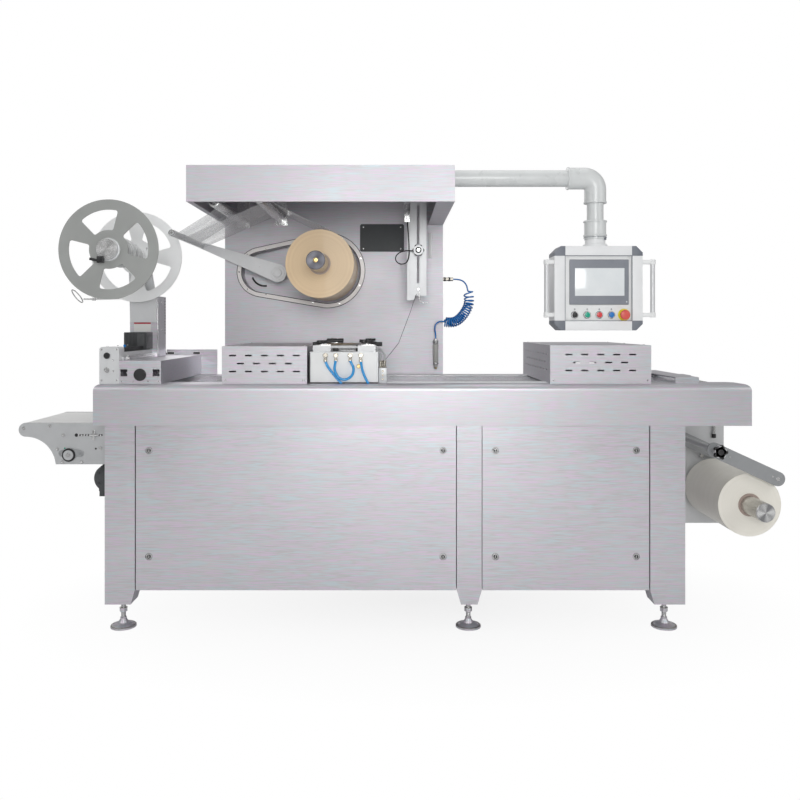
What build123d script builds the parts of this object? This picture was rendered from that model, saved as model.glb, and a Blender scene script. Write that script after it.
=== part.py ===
"""Thermoforming packaging machine with its film reels, covers, hood and control panel.

The frame has +X along the machine towards the base film roll, +Y from the operator side to the rear and +Z up.
The origin is on the floor, below the middle of the operator side of the table. Sizes are in millimetres.
"""
import math
import os

from build123d import *

# Table
table_height = 950
table_depth = 700
beam_length = 2540
beam_width = 135
beam_height = 160
beam_edge_radius = 24
beam_corner_cut = 45
sheet = 3

# Legs, feet and panels
leg_bottom = 100
leg_depth = 90
leg_inset = 4
end_leg_overhang = 44
left_leg_width = 116
middle_leg_width = 96
right_leg_width = 135
middle_leg_centre = 181
right_leg_centre = 947
leg_taper = 16
panel_bottom = 154
panel_inset = 8
panel_thickness = 20
panel_seam = 3
lock_diameter = 28
lock_recess = 6
lock_side_margin = 50
lock_top_margin = 96
lock_bottom_margin = 130
left_end_panel_top = 440
right_end_panel_top = 640
foot_disc_radius = 49
foot_rim_height = 6
foot_cone_top = 32
foot_neck_radius = 12
spindle_radius = 8
foot_nut_bottom = 60
foot_nut_height = 14
foot_nut_flats = 26
foot_bolt_hole = 9
foot_bolt_offset = 36

# Deck between the beams
deck_drop = 44
deck_thickness = 6
deck_left = -1190
deck_right = 1110
rail_width = 14
film_width = 420
web_thickness = 1.5
web_left = -940
guard_width = 46
guard_thickness = 3
infeed_cover_left = 1006
infeed_cover_width = 94
infeed_cover_height = 22
infeed_roller_radius = 30
infeed_roller_x = 1180

# Rear cabinet
cabinet_left = -906
cabinet_width = 1030
cabinet_depth = 260
cabinet_bottom = 480
machine_top = 1792

# Hood over the table
hood_height = 140
hood_overhang = 20
hood_lip_left = 22
hood_lip_right = 70
hood_lip_front = 15

# Recess in the cabinet around the lidding film
pocket_roll_x = -421
pocket_roll_drop = 355
pocket_roll_radius = 155
pocket_arm_x = -731
pocket_arm_drop = 362
pocket_arm_radius = 96
pocket_rim_width = 22
pocket_depth = 80
pocket_wall = 3

# Film rolls
lidding_roll_radius = 144
lidding_roll_front = 278
lidding_film_width = 395
base_roll_radius = 132
base_roll_front = 268
base_roll_x = 1380
base_roll_z = 426
shaft_radius = 38
shaft_overhang = 183
base_shaft_overhang = 147
journal_radius = 22
journal_length = 40
bearing_radius = 60
bearing_length = 36
running_clearance = 0.1

# Guide rollers in the hood and the film arm
guide_roller_radius = 22
guide_roller_front = 60
right_guide_x = -639
right_guide_drop = 114
left_guide_x = -817
left_guide_drop = 128
hanger_width = 60
hanger_thickness = 8
arm_plate_y = 676
arm_plate_thickness = 8
arm_pivot_x = -685
arm_pivot_drop = 355
arm_end_x = -655
arm_end_drop = 368
arm_end_radius = 42
arm_tip_x = -1010
arm_tip_drop = 239
arm_tip_radius = 15
arm_shaft_radius = 20
arm_roller_radius = 14
arm_roller_front = 160
film_thickness = 1
film_gap = 1.5

# Nameplate
nameplate_x = -268
nameplate_drop = 201
nameplate_width = 208
nameplate_height = 130
nameplate_thickness = 3
nameplate_corner = 10

# Slotted sensor bracket
sensor_plate_y = 500
sensor_plate_left = -37
sensor_plate_width = 74
sensor_plate_drop = 481
sensor_plate_thickness = 5
sensor_slot_width = 12
sensor_slot_bottom_drop = 425
sensor_slot_top_drop = 76
sensor_channel_depth = 24
sensor_channel_offset = 12
sensor_channel_width = 34
sensor_knob_drop = 280
sensor_knob_radius = 22
sensor_knob_length = 34
sensor_bolt_radius = 4

# Covers and stations on the table
station_inset = 28
cover_sheet = 2
seal_cover_left = -779
seal_cover_width = 331
seal_cover_height = 146
heater_cover_left = 498
heater_cover_width = 393
heater_cover_height = 150
slot_length = 28
slot_height = 6
slot_pitch = 62
slot_row_pitch = 31
slot_top_margin = 36
side_slot_length = 20
side_slot_pitch = 60
forming_left = -439
forming_width = 267
forming_height = 124
forming_inset = 42
clamp_width = 70
clamp_depth = 60
clamp_height = 24
clamp_bar_radius = 7
hose_radius = 5
fitting_radius = 7
fitting_length = 16
fitting_outlet_radius = 5.5
fitting_drop = 20
fitting_z = 1060
hose_starts_x = (-377, -336, -280, -239)
hose_ends_x = (-313, -209)
orange_plug_x = -247
orange_plug_z = 1018
orange_plug_radius = 8

# Cutting unit at the outfeed end
cutter_block_left = -1252
cutter_block_width = 77
cutter_block_depth = 60
cutter_block_height = 144
cutter_block_radius = 12
cutter_block_y = 18
cutter_beam_height = 60
cutter_beam_drop = 22
cutter_tray_right = -1013
cutter_tray_height = 90
cutter_plate_height = 115
cutter_plate_wing = 75
cutter_slot_x = (-1156, -1035)
cutter_slot_z = 1048
cutter_slot_size = (36, 12)
cutter_window = 27

# Waste film reel and its column
reel_x = -1228
reel_rise = 169
reel_radius = 196
reel_front = 50
reel_rear = 400
reel_disc_thickness = 5
reel_window_inner = 76
reel_window_outer = 156
reel_window_sweep = 58
reel_window_start = -14
reel_window_corner = 9
reel_drum_radius = 38
reel_hub_radius = 39
reel_hub_length = 22
reel_shaft_radius = 15
reel_column_front = 440
reel_column_width = 123
reel_column_depth = 124
reel_column_height = 356
reel_bearing_thickness = 14
reel_bearing_radius = 44
motor_width = 96
motor_length = 90
motor_rise = 126
motor_height = 72

# Outfeed conveyor
conveyor_front = 140
conveyor_tip_x = -1621
conveyor_inner_x = -1060
conveyor_drop = 5
conveyor_height = 167
conveyor_nose_height = 56
conveyor_body_x = -1472
conveyor_plate = 6
conveyor_roller_radius = 24
conveyor_belt_thickness = 3
conveyor_drive_x = -1418
conveyor_drive_rise = 38
conveyor_bearing_radius = 20
conveyor_bracket_x = (-1200, -1140)
conveyor_bracket_rise = 42
conveyor_bracket_height = 80
gearmotor_x = -1290
gearmotor_drop = 70
gearmotor_radius = 55
gearmotor_y = 215

# Base film carrier
carrier_plate_thickness = 12
carrier_plate_right = 1450
carrier_plate_bottom = 245
base_arm_pivot_x = 1220
base_arm_pivot_z = 661
base_arm_length = 290
base_arm_angle = -24.6
base_arm_half_width = 30
base_arm_plate = 6
base_arm_front = 236
base_arm_roller_radius = 15
base_arm_shaft_radius = 12
star_knob_radius = 26
star_knob_length = 26

# Control panel arm
hmi_x = 678
hmi_arm_y = 50
hmi_arm_drop = 40
hmi_tube_radius = 32
hmi_elbow_radius = 42
hmi_elbow_reach = 109
hmi_elbow_fall = 96
hmi_pipe_length = 70
hmi_coupling_length = 74
hmi_width = 340
hmi_depth = 110
hmi_collar_length = 29
hmi_height = 325
hmi_corner = 58
hmi_corner_cut = 26
hmi_screen_width = 229
hmi_screen_height = 174
hmi_screen_drop = 52
hmi_screen_thickness = 6
hmi_handle_height = 222
hmi_handle_radius = 9
hmi_handle_reach = 35
hmi_handle_setback = 14
hmi_button_radius = 11
hmi_button_length = 14
hmi_button_drop = 265
hmi_button_pitch = 46.8
hmi_buttons_from = -91
hmi_stop_radius = 19
hmi_stop_plate_radius = 24
hmi_stop_x = 99
swivel_clearance = 0.3

# Air gun on its spiral hose
air_hose_radius = 4
air_coil_radius = 23
air_coupling_radius = 9
air_coupling_y = 735
air_coupling_z = 1398
air_coupling_length = 50
air_gun_radius = 12
air_gun_length = 126
air_clip_width = 18
air_clip_height = 12
coil_route = [
    (244, 735, 1345),
    (254, 728, 1296),
    (236, 713, 1248),
    (203, 692, 1208),
    (166, 672, 1188),
    (126, 672, 1195),
]
lead_middle = [(212, 735, 1398), (238, 739.2, 1374.4)]
tail_route = [
    coil_route[-1],
    (111, 672, 1197.625),
    (96, 672, 1192),
    (86, 672, 1180),
    (83, 672, 1162),
    (88, 672, 1134),
    (88, 672, 1108),
]

beam_left = -beam_length / 2
beam_right = beam_length / 2
beam_bottom = table_height - beam_height
rear_beam_front = table_depth - beam_width
cabinet_front = table_depth
cabinet_right = cabinet_left + cabinet_width
cabinet_rear = cabinet_front + cabinet_depth
hood_bottom = machine_top - hood_height
deck_top = table_height - deck_drop

# Heights measured down from the top of the machine
pocket_roll_z = machine_top - pocket_roll_drop
pocket_arm_z = machine_top - pocket_arm_drop
right_guide_z = machine_top - right_guide_drop
left_guide_z = machine_top - left_guide_drop
arm_pivot_z = machine_top - arm_pivot_drop
arm_end_z = machine_top - arm_end_drop
arm_tip_z = machine_top - arm_tip_drop
nameplate_z = machine_top - nameplate_drop
sensor_plate_bottom = machine_top - sensor_plate_drop
sensor_slot_bottom = machine_top - sensor_slot_bottom_drop
sensor_slot_top = machine_top - sensor_slot_top_drop
sensor_knob_z = machine_top - sensor_knob_drop
hmi_arm_z = machine_top - hmi_arm_drop
hmi_elbow_bottom = hmi_arm_z - hmi_elbow_fall
hmi_coupling_top = hmi_elbow_bottom - hmi_pipe_length
hmi_coupling_split = hmi_coupling_top - hmi_coupling_length
hmi_top = hmi_coupling_split - hmi_collar_length

# Heights measured from the table
reel_column_top = table_height + reel_column_height
reel_z = reel_column_top + reel_rise
motor_bottom = table_height + motor_rise
conveyor_top = beam_bottom - conveyor_drop
conveyor_bottom = conveyor_top - conveyor_height
conveyor_drive_z = conveyor_bottom + conveyor_drive_rise
conveyor_bracket_bottom = conveyor_bottom + conveyor_bracket_rise
conveyor_bracket_z = (conveyor_bracket_bottom, conveyor_bracket_bottom + conveyor_bracket_height)
gearmotor_z = conveyor_bottom - gearmotor_drop


def face_plane(y):
    """Upright plane seen from the operator side, y behind the front of the table."""
    return Plane.XZ.offset(-y)


def add_block(x, y, z, mode=Mode.ADD):
    """Block that spans the low and high value of each pair."""
    with Locations(((x[0] + x[1]) / 2, (y[0] + y[1]) / 2, (z[0] + z[1]) / 2)):
        Box(x[1] - x[0], y[1] - y[0], z[1] - z[0], mode=mode)


def add_rod(x, z, radius, front, rear, mode=Mode.ADD):
    """Round bar that lies front to rear."""
    with BuildSketch(face_plane(front)) as section:
        with Locations((x, z)):
            Circle(radius)
    extrude(section.sketch, amount=front - rear, mode=mode)


def route_radii(points):
    """Largest tangent arcs that the runs of a hose leave room for."""
    radii = []
    for before, corner, after in zip(points, points[1:], points[2:]):
        arriving = Vector(*corner) - Vector(*before)
        leaving = Vector(*after) - Vector(*corner)
        shorter = min(arriving.length, leaving.length)
        half_turn = math.radians(arriving.get_angle(leaving) / 2)
        radii.append(0.45 * shorter / math.tan(half_turn))
    return radii


def hose_path(points):
    """Straight runs joined by tangent arcs."""
    radii = route_radii(points)
    print("hose radii", [round(radius, 1) for radius in radii])
    return FilletPolyline(*points, radius=radii)


pieces = {}

# Table beams
with BuildPart() as front_beam:
    with BuildSketch(Plane.XY.offset(beam_bottom)):
        with BuildLine():
            Polyline(
                (beam_left, 0),
                (beam_right, 0),
                (beam_right, beam_width - beam_corner_cut),
                (beam_right - beam_corner_cut, beam_width),
                (beam_left, beam_width),
                close=True,
            )
        make_face()
    extrude(amount=beam_height)
    top_edges = front_beam.edges().group_by(Axis.Z)[-1]
    outer_edges = [top_edges.sort_by(Axis.Y)[0], top_edges.sort_by(Axis.X)[0], top_edges.sort_by(Axis.X)[-1]]
    fillet(outer_edges, radius=beam_edge_radius)
pieces["front_beam"] = front_beam

with BuildPart() as rear_beam:
    mirror(front_beam.part, about=face_plane(table_depth / 2))
pieces["rear_beam"] = rear_beam

# Legs with tapered lower ends, panels and feet
leg_top = beam_bottom
left_leg_x = (beam_left + end_leg_overhang, beam_left + end_leg_overhang + left_leg_width)
middle_leg_x = (middle_leg_centre - middle_leg_width / 2, middle_leg_centre + middle_leg_width / 2)
right_leg_x = (right_leg_centre - right_leg_width / 2, right_leg_centre + right_leg_width / 2)
front_leg_y = (leg_inset, leg_inset + leg_depth)
rear_leg_y = (table_depth - leg_inset - leg_depth, table_depth - leg_inset)


def add_leg(x, taper_left, taper_right):
    """Post whose lower end narrows on one or both sides."""
    with BuildSketch(face_plane(front_leg_y[0])) as outline:
        with BuildLine():
            Polyline(
                (x[0], leg_top),
                (x[0], panel_bottom),
                (x[0] + taper_left, leg_bottom),
                (x[1] - taper_right, leg_bottom),
                (x[1], panel_bottom),
                (x[1], leg_top),
                close=True,
            )
        make_face()
    extrude(outline.sketch, amount=-leg_depth)


with BuildPart() as legs:
    add_leg(left_leg_x, 0, leg_taper)
    add_leg(middle_leg_x, leg_taper, leg_taper)
    add_leg(right_leg_x, leg_taper, 0)
    mirror(about=face_plane(table_depth / 2))
pieces["legs"] = legs

# Levelling feet
with BuildPart() as foot:
    with BuildSketch(Plane.XZ):
        with BuildLine():
            Polyline(
                (0, 0),
                (foot_disc_radius, 0),
                (foot_disc_radius, foot_rim_height),
                (foot_neck_radius + 8, foot_cone_top - 14),
                (foot_neck_radius, foot_cone_top),
                (foot_neck_radius, foot_cone_top + 6),
                (spindle_radius, foot_cone_top + 8),
                (spindle_radius, leg_bottom),
                (0, leg_bottom),
                close=True,
            )
        make_face()
    revolve(axis=Axis.Z)
    with BuildSketch(Plane.XY.offset(foot_nut_bottom)):
        RegularPolygon(foot_nut_flats / 2, 6, major_radius=False)
    extrude(amount=foot_nut_height)
    with BuildSketch():
        with Locations((-foot_bolt_offset, 0), (foot_bolt_offset, 0)):
            Circle(foot_bolt_hole / 2)
    extrude(amount=foot_cone_top, mode=Mode.SUBTRACT)

foot_points = []
for leg_x in (left_leg_x, middle_leg_x, right_leg_x):
    for leg_y in (front_leg_y, rear_leg_y):
        foot_points.append((sum(leg_x) / 2, sum(leg_y) / 2))
with BuildPart() as levelling_feet:
    with Locations(*foot_points):
        add(foot.part)
pieces["levelling_feet"] = levelling_feet

# Side and end panels
panel_spans = [
    (left_leg_x[1] + panel_seam, middle_leg_x[0] - panel_seam),
    (middle_leg_x[1] + panel_seam, right_leg_x[0] - panel_seam),
]
lock_heights = (beam_bottom - lock_top_margin, panel_bottom + lock_bottom_margin)
with BuildPart() as side_panels:
    for span in panel_spans:
        add_block(span, (panel_inset, panel_inset + panel_thickness), (panel_bottom, beam_bottom))
        for lock_x in (span[0] + lock_side_margin, span[1] - lock_side_margin):
            for lock_z in lock_heights:
                lock_floor = panel_inset + lock_recess
                add_rod(lock_x, lock_z, lock_diameter / 2, panel_inset, lock_floor, mode=Mode.SUBTRACT)
    mirror(about=face_plane(table_depth / 2))
pieces["side_panels"] = side_panels

with BuildPart() as end_panels:
    end_span = (front_leg_y[1], rear_leg_y[0])
    left_panel_x = (left_leg_x[0] + panel_inset, left_leg_x[0] + panel_inset + panel_thickness)
    right_panel_x = (right_leg_x[1] - panel_inset - panel_thickness, right_leg_x[1] - panel_inset)
    add_block(left_panel_x, end_span, (panel_bottom, left_end_panel_top))
    add_block(right_panel_x, end_span, (panel_bottom, right_end_panel_top))
pieces["end_panels"] = end_panels

with BuildPart() as bottom_tray:
    tray_y = (front_leg_y[1], rear_leg_y[0])
    add_block((left_panel_x[1], right_panel_x[0]), tray_y, (panel_bottom, panel_bottom + sheet))
    for span in panel_spans:
        panel_back = panel_inset + panel_thickness
        add_block(span, (panel_back, table_depth - panel_back), (panel_bottom, panel_bottom + sheet))
pieces["bottom_tray"] = bottom_tray

# Deck, chain rails and base film between the beams
inner_y = (beam_width, rear_beam_front)
film_y = ((table_depth - film_width) / 2, (table_depth + film_width) / 2)
web_bottom = table_height - guard_thickness - web_thickness
with BuildPart() as deck:
    add_block((deck_left, deck_right), inner_y, (deck_top - deck_thickness, deck_top))
    add_block((web_left, deck_right), (inner_y[0], inner_y[0] + rail_width), (deck_top, web_bottom))
    add_block((web_left, deck_right), (inner_y[1] - rail_width, inner_y[1]), (deck_top, web_bottom))
pieces["deck"] = deck

with BuildPart() as base_film_web:
    add_block((web_left, deck_right), film_y, (web_bottom, web_bottom + web_thickness))
pieces["base_film_web"] = base_film_web

with BuildPart() as chain_guards:
    guard_z = (table_height, table_height + guard_thickness)
    guard_x = (forming_left + forming_width, heater_cover_left)
    add_block(guard_x, (inner_y[0] + rail_width - guard_width, inner_y[0] + rail_width), guard_z)
    add_block(guard_x, (inner_y[1] - rail_width, inner_y[1] - rail_width + guard_width), guard_z)
pieces["chain_guards"] = chain_guards

with BuildPart() as infeed_cover:
    cover_x = (infeed_cover_left, infeed_cover_left + infeed_cover_width)
    cover_y = (inner_y[0] - guard_width, inner_y[1] + guard_width)
    cover_z = (table_height, table_height + infeed_cover_height)
    add_block(cover_x, cover_y, cover_z)
    hollow_x = (cover_x[0] - sheet, cover_x[1] - sheet)
    hollow_y = (cover_y[0] + sheet, cover_y[1] - sheet)
    add_block(hollow_x, hollow_y, (cover_z[0], cover_z[1] - sheet), mode=Mode.SUBTRACT)
    chamfer(infeed_cover.edges().filter_by(Axis.Y).group_by(Axis.Z)[-1].sort_by(Axis.X)[-1], length=2)
pieces["infeed_cover"] = infeed_cover

with BuildPart() as infeed_roller:
    roller_z = web_bottom - infeed_roller_radius
    add_rod(infeed_roller_x, roller_z, infeed_roller_radius, inner_y[0] + 2, inner_y[1] - 2)
    add_rod(infeed_roller_x, roller_z, spindle_radius, inner_y[0], inner_y[1])
pieces["infeed_roller"] = infeed_roller

# Rear cabinet with the recess for the lidding film
pocket_floor = cabinet_front + pocket_depth


def draw_pocket(margin):
    """Outline of the recess, wider by the margin all round."""
    with Locations((pocket_roll_x, pocket_roll_z)):
        Circle(pocket_roll_radius + margin)
    with Locations((pocket_arm_x, pocket_arm_z)):
        Circle(pocket_arm_radius + margin)
    make_hull()


with BuildPart() as cabinet:
    add_block((cabinet_left, cabinet_right), (cabinet_front, cabinet_rear - sheet), (cabinet_bottom, machine_top))
    inner_x = (cabinet_left + sheet, cabinet_right - sheet)
    inner_z = (cabinet_bottom + sheet, machine_top - sheet)
    add_block(inner_x, (cabinet_front + sheet, cabinet_rear), inner_z, mode=Mode.SUBTRACT)
    with BuildSketch(face_plane(cabinet_front + sheet)):
        draw_pocket(pocket_wall)
    extrude(amount=-(pocket_depth + pocket_wall - sheet))
    with BuildSketch(face_plane(cabinet_front)):
        draw_pocket(0)
    extrude(amount=-pocket_depth, mode=Mode.SUBTRACT)
pieces["cabinet"] = cabinet

with BuildPart() as cabinet_door:
    add_block((cabinet_left, cabinet_right), (cabinet_rear - sheet, cabinet_rear), (cabinet_bottom, machine_top))
pieces["cabinet_door"] = cabinet_door

with BuildPart() as pocket_rim:
    with BuildSketch(face_plane(cabinet_front - sheet)):
        draw_pocket(pocket_rim_width)
    extrude(amount=-sheet)
    with BuildSketch(face_plane(cabinet_front - sheet)):
        draw_pocket(0)
    extrude(amount=-sheet, mode=Mode.SUBTRACT)
pieces["pocket_rim"] = pocket_rim

with BuildPart() as nameplate:
    with BuildSketch(face_plane(cabinet_front - nameplate_thickness)):
        with Locations((nameplate_x + nameplate_width / 2, nameplate_z)):
            RectangleRounded(nameplate_width, nameplate_height, nameplate_corner)
    extrude(amount=-nameplate_thickness)
pieces["nameplate"] = nameplate

# Hood, open below, with turned-in lips
with BuildPart() as hood:
    hood_y = (-hood_overhang, cabinet_front)
    add_block((cabinet_left, cabinet_right), hood_y, (hood_bottom, machine_top))
    hollow_y = (hood_y[0] + sheet, hood_y[1])
    add_block(inner_x, hollow_y, (hood_bottom + sheet, machine_top - sheet), mode=Mode.SUBTRACT)
    mouth_x = (cabinet_left + hood_lip_left, cabinet_right - hood_lip_right)
    mouth_y = (hood_y[0] + hood_lip_front, hood_y[1])
    add_block(mouth_x, mouth_y, (hood_bottom, hood_bottom + sheet), mode=Mode.SUBTRACT)
pieces["hood"] = hood

# Guide rollers that hang in the hood
with BuildPart() as guide_rollers:
    for guide_x, guide_z in ((left_guide_x, left_guide_z), (right_guide_x, right_guide_z)):
        add_rod(guide_x, guide_z, guide_roller_radius, guide_roller_front, cabinet_front - hanger_thickness)
        hanger_x = (guide_x - hanger_width / 2, guide_x + hanger_width / 2)
        hanger_z = (guide_z - hanger_width / 2, machine_top - sheet)
        add_block(hanger_x, (cabinet_front - hanger_thickness, cabinet_front), hanger_z)
pieces["guide_rollers"] = guide_rollers

# Film arm with its roller
arm_plate_rear = arm_plate_y + arm_plate_thickness
with BuildPart() as film_arm:
    with BuildSketch(face_plane(arm_plate_y)):
        with Locations((arm_end_x, arm_end_z)):
            Circle(arm_end_radius)
        with Locations((arm_tip_x, arm_tip_z)):
            Circle(arm_tip_radius)
        make_hull()
    extrude(amount=-arm_plate_thickness)
    add_rod(arm_pivot_x, arm_pivot_z, arm_shaft_radius, arm_plate_rear, pocket_floor)
    add_rod(arm_tip_x, arm_tip_z, arm_roller_radius, arm_roller_front, arm_plate_y)
pieces["film_arm"] = film_arm

# Lidding film roll on its cantilevered shaft
lidding_roll_rear = lidding_roll_front + lidding_film_width
with BuildPart() as lidding_roll:
    add_rod(pocket_roll_x, pocket_roll_z, lidding_roll_radius, lidding_roll_front, lidding_roll_rear)
    add_rod(pocket_roll_x, pocket_roll_z, shaft_radius, lidding_roll_front, lidding_roll_rear, mode=Mode.SUBTRACT)
pieces["lidding_roll"] = lidding_roll

lidding_bearing_front = pocket_floor - bearing_length
with BuildPart() as lidding_shaft:
    shaft_front = lidding_roll_front - shaft_overhang
    add_rod(pocket_roll_x, pocket_roll_z, shaft_radius, shaft_front, lidding_bearing_front - 6)
    add_rod(pocket_roll_x, pocket_roll_z, journal_radius, lidding_bearing_front - 6, pocket_floor - 2)
    chamfer(lidding_shaft.edges().group_by(Axis.Y)[0], length=3)
pieces["lidding_shaft"] = lidding_shaft

with BuildPart() as lidding_bearing:
    add_rod(pocket_roll_x, pocket_roll_z, bearing_radius, lidding_bearing_front, pocket_floor)
    bore = journal_radius + running_clearance
    add_rod(pocket_roll_x, pocket_roll_z, bore, lidding_bearing_front, pocket_floor, mode=Mode.SUBTRACT)
pieces["lidding_bearing"] = lidding_bearing


def film_run(start, start_side, end, end_side):
    """Ends of a straight run of film; a positive side passes left of the round, a negative side right."""
    span_x = end[0] - start[0]
    span_z = end[1] - start[1]
    turn = math.atan2(span_z, span_x) - math.asin((start_side - end_side) / math.hypot(span_x, span_z))
    normal = (-math.sin(turn), math.cos(turn))
    first = (start[0] + start_side * normal[0], start[1] + start_side * normal[1])
    last = (end[0] + end_side * normal[0], end[1] + end_side * normal[1])
    return first, last


# Lidding film from the roll over the guide rollers and round the arm
half_film = film_thickness / 2
roll_point = (pocket_roll_x, pocket_roll_z)
right_guide = (right_guide_x, right_guide_z)
left_guide = (left_guide_x, left_guide_z)
arm_roller = (arm_tip_x, arm_tip_z)
guide_side = guide_roller_radius + half_film
arm_side = arm_roller_radius + half_film
roll_side = lidding_roll_radius + film_gap + half_film
film_runs = [
    film_run(right_guide, guide_side, roll_point, roll_side),
    film_run(arm_roller, -arm_side, right_guide, guide_side),
    film_run(arm_roller, arm_side, left_guide, guide_side),
]
with BuildPart() as lidding_film:
    for first, last in film_runs:
        with BuildSketch(face_plane(lidding_roll_front)):
            with BuildLine():
                Line(first, last)
            trace(line_width=film_thickness)
        extrude(amount=-lidding_film_width)
pieces["lidding_film"] = lidding_film

# Slotted sensor bracket that hangs from the hood
with BuildPart() as sensor_bracket:
    plate_x = (sensor_plate_left, sensor_plate_left + sensor_plate_width)
    plate_y = (sensor_plate_y, sensor_plate_y + sensor_plate_thickness)
    plate_centre = sum(plate_x) / 2
    add_block(plate_x, plate_y, (sensor_plate_bottom, machine_top - sheet))
    slot_x = (plate_centre - sensor_slot_width / 2, plate_centre + sensor_slot_width / 2)
    add_block(slot_x, plate_y, (sensor_slot_bottom, sensor_slot_top), mode=Mode.SUBTRACT)
    channel_x = (plate_x[0] - sensor_channel_offset, plate_x[0] - sensor_channel_offset + sensor_channel_width)
    channel_y = (plate_y[1], plate_y[1] + sensor_channel_depth)
    add_block(channel_x, channel_y, (sensor_plate_bottom - 20, machine_top - sheet))
    add_rod(plate_centre, sensor_knob_z, sensor_knob_radius, plate_y[0] - sensor_knob_length, plate_y[0])
    add_rod(plate_centre, sensor_knob_z, sensor_bolt_radius, plate_y[0], plate_y[1] + 2)
pieces["sensor_bracket"] = sensor_bracket


# Slotted covers
def slot_points(left, width, top):
    """Centres of three staggered rows of slots."""
    centre = left + width / 2
    points = []
    for row, count in enumerate((5, 4, 5)):
        for column in range(count):
            x = centre + (column - (count - 1) / 2) * slot_pitch
            points.append((x, top - slot_top_margin - row * slot_row_pitch))
    return points


def add_cover(left, width, height):
    """Sheet cover, open below, with slots in the front, rear and both sides."""
    top = table_height + height
    cover_y = (station_inset, table_depth - station_inset)
    add_block((left, left + width), cover_y, (table_height, top))
    inside_x = (left + cover_sheet, left + width - cover_sheet)
    inside_y = (cover_y[0] + cover_sheet, cover_y[1] - cover_sheet)
    add_block(inside_x, inside_y, (table_height, top - cover_sheet), mode=Mode.SUBTRACT)
    with BuildSketch(face_plane(cover_y[0])) as slots:
        with Locations(*slot_points(left, width, top)):
            SlotOverall(slot_length, slot_height)
    extrude(slots.sketch, amount=-(cover_y[1] - cover_y[0]), mode=Mode.SUBTRACT)
    for row, count in enumerate((9, 8, 9)):
        slot_z = top - slot_top_margin - row * slot_row_pitch
        for column in range(count):
            y = table_depth / 2 + (column - (count - 1) / 2) * side_slot_pitch
            slot_y = (y - side_slot_length / 2, y + side_slot_length / 2)
            slot_span = (slot_z - slot_height / 2, slot_z + slot_height / 2)
            add_block((left, left + width), slot_y, slot_span, mode=Mode.SUBTRACT)


with BuildPart() as seal_cover:
    add_cover(seal_cover_left, seal_cover_width, seal_cover_height)
pieces["seal_cover"] = seal_cover

with BuildPart() as heater_cover:
    add_cover(heater_cover_left, heater_cover_width, heater_cover_height)
pieces["heater_cover"] = heater_cover

# Forming station with its water fittings and hoses
forming_x = (forming_left, forming_left + forming_width)
forming_y = (forming_inset, table_depth - forming_inset)
forming_top = table_height + forming_height
with BuildPart() as forming_unit:
    add_block(forming_x, forming_y, (table_height, forming_top))
    clamp_span = (forming_y[0] + 30, forming_y[0] + 30 + clamp_depth)
    for clamp_x in (forming_x[0] + 10, forming_x[1] - 10 - clamp_width):
        for shift in (0, forming_y[1] - forming_y[0] - 60 - clamp_depth):
            clamp_y = (clamp_span[0] + shift, clamp_span[1] + shift)
            add_block((clamp_x, clamp_x + clamp_width), clamp_y, (forming_top, forming_top + clamp_height))
    bar_z = forming_top + clamp_height - clamp_bar_radius
    for bar_y in (clamp_span[0] + clamp_depth / 2, forming_y[1] - 30 - clamp_depth / 2):
        with BuildSketch(Plane.YZ.offset(forming_x[0] + 10 + clamp_width)):
            with Locations((bar_y, bar_z)):
                Circle(clamp_bar_radius)
        extrude(amount=forming_width - 2 * (10 + clamp_width))
pieces["forming_unit"] = forming_unit

fitting_y = forming_inset - fitting_length
with BuildPart() as forming_fittings:
    for fitting_x in hose_starts_x:
        add_rod(fitting_x, fitting_z, fitting_radius, fitting_y, forming_inset)
        with BuildSketch(Plane.XY.offset(fitting_z - fitting_drop)):
            with Locations((fitting_x, fitting_y + fitting_radius)):
                Circle(fitting_outlet_radius)
        extrude(amount=fitting_drop)
    add_rod(orange_plug_x, orange_plug_z, orange_plug_radius, forming_inset - 6, forming_inset)
pieces["forming_fittings"] = forming_fittings

hose_y = fitting_y + fitting_radius
hose_top = fitting_z - fitting_drop
hose_floor = table_height
loop_left, loop_right = hose_starts_x[1:3]
hose_routes = [
    [
        (hose_starts_x[0], hose_y, hose_top),
        (hose_starts_x[0] + 8, hose_y, hose_top - 22),
        (hose_starts_x[0] + 34, hose_y, hose_top - 56),
        (hose_ends_x[0], hose_y, hose_floor),
    ],
    [
        (loop_left, hose_y - 10, hose_top),
        (loop_left - 6, hose_y - 10, hose_top - 34),
        (loop_left + 9, hose_y - 10, hose_top - 66),
        (loop_left + 36, hose_y - 10, hose_top - 76),
        (loop_right + 8, hose_y - 10, hose_top - 60),
        (loop_right + 16, hose_y - 10, hose_top - 30),
        (loop_right, hose_y - 10, hose_top),
    ],
    [
        (hose_starts_x[3], hose_y, hose_top),
        (hose_starts_x[3] + 5, hose_y, hose_top - 34),
        (hose_starts_x[3] + 16, hose_y, hose_top - 64),
        (hose_ends_x[1], hose_y, hose_floor),
    ],
]
with BuildPart() as forming_hoses:
    for route in hose_routes:
        with BuildLine() as hose_line:
            hose_path(route)
        with BuildSketch(Plane(origin=hose_line.line @ 0, z_dir=hose_line.line % 0)):
            Circle(hose_radius)
        sweep(path=hose_line.line)
pieces["forming_hoses"] = forming_hoses

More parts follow.
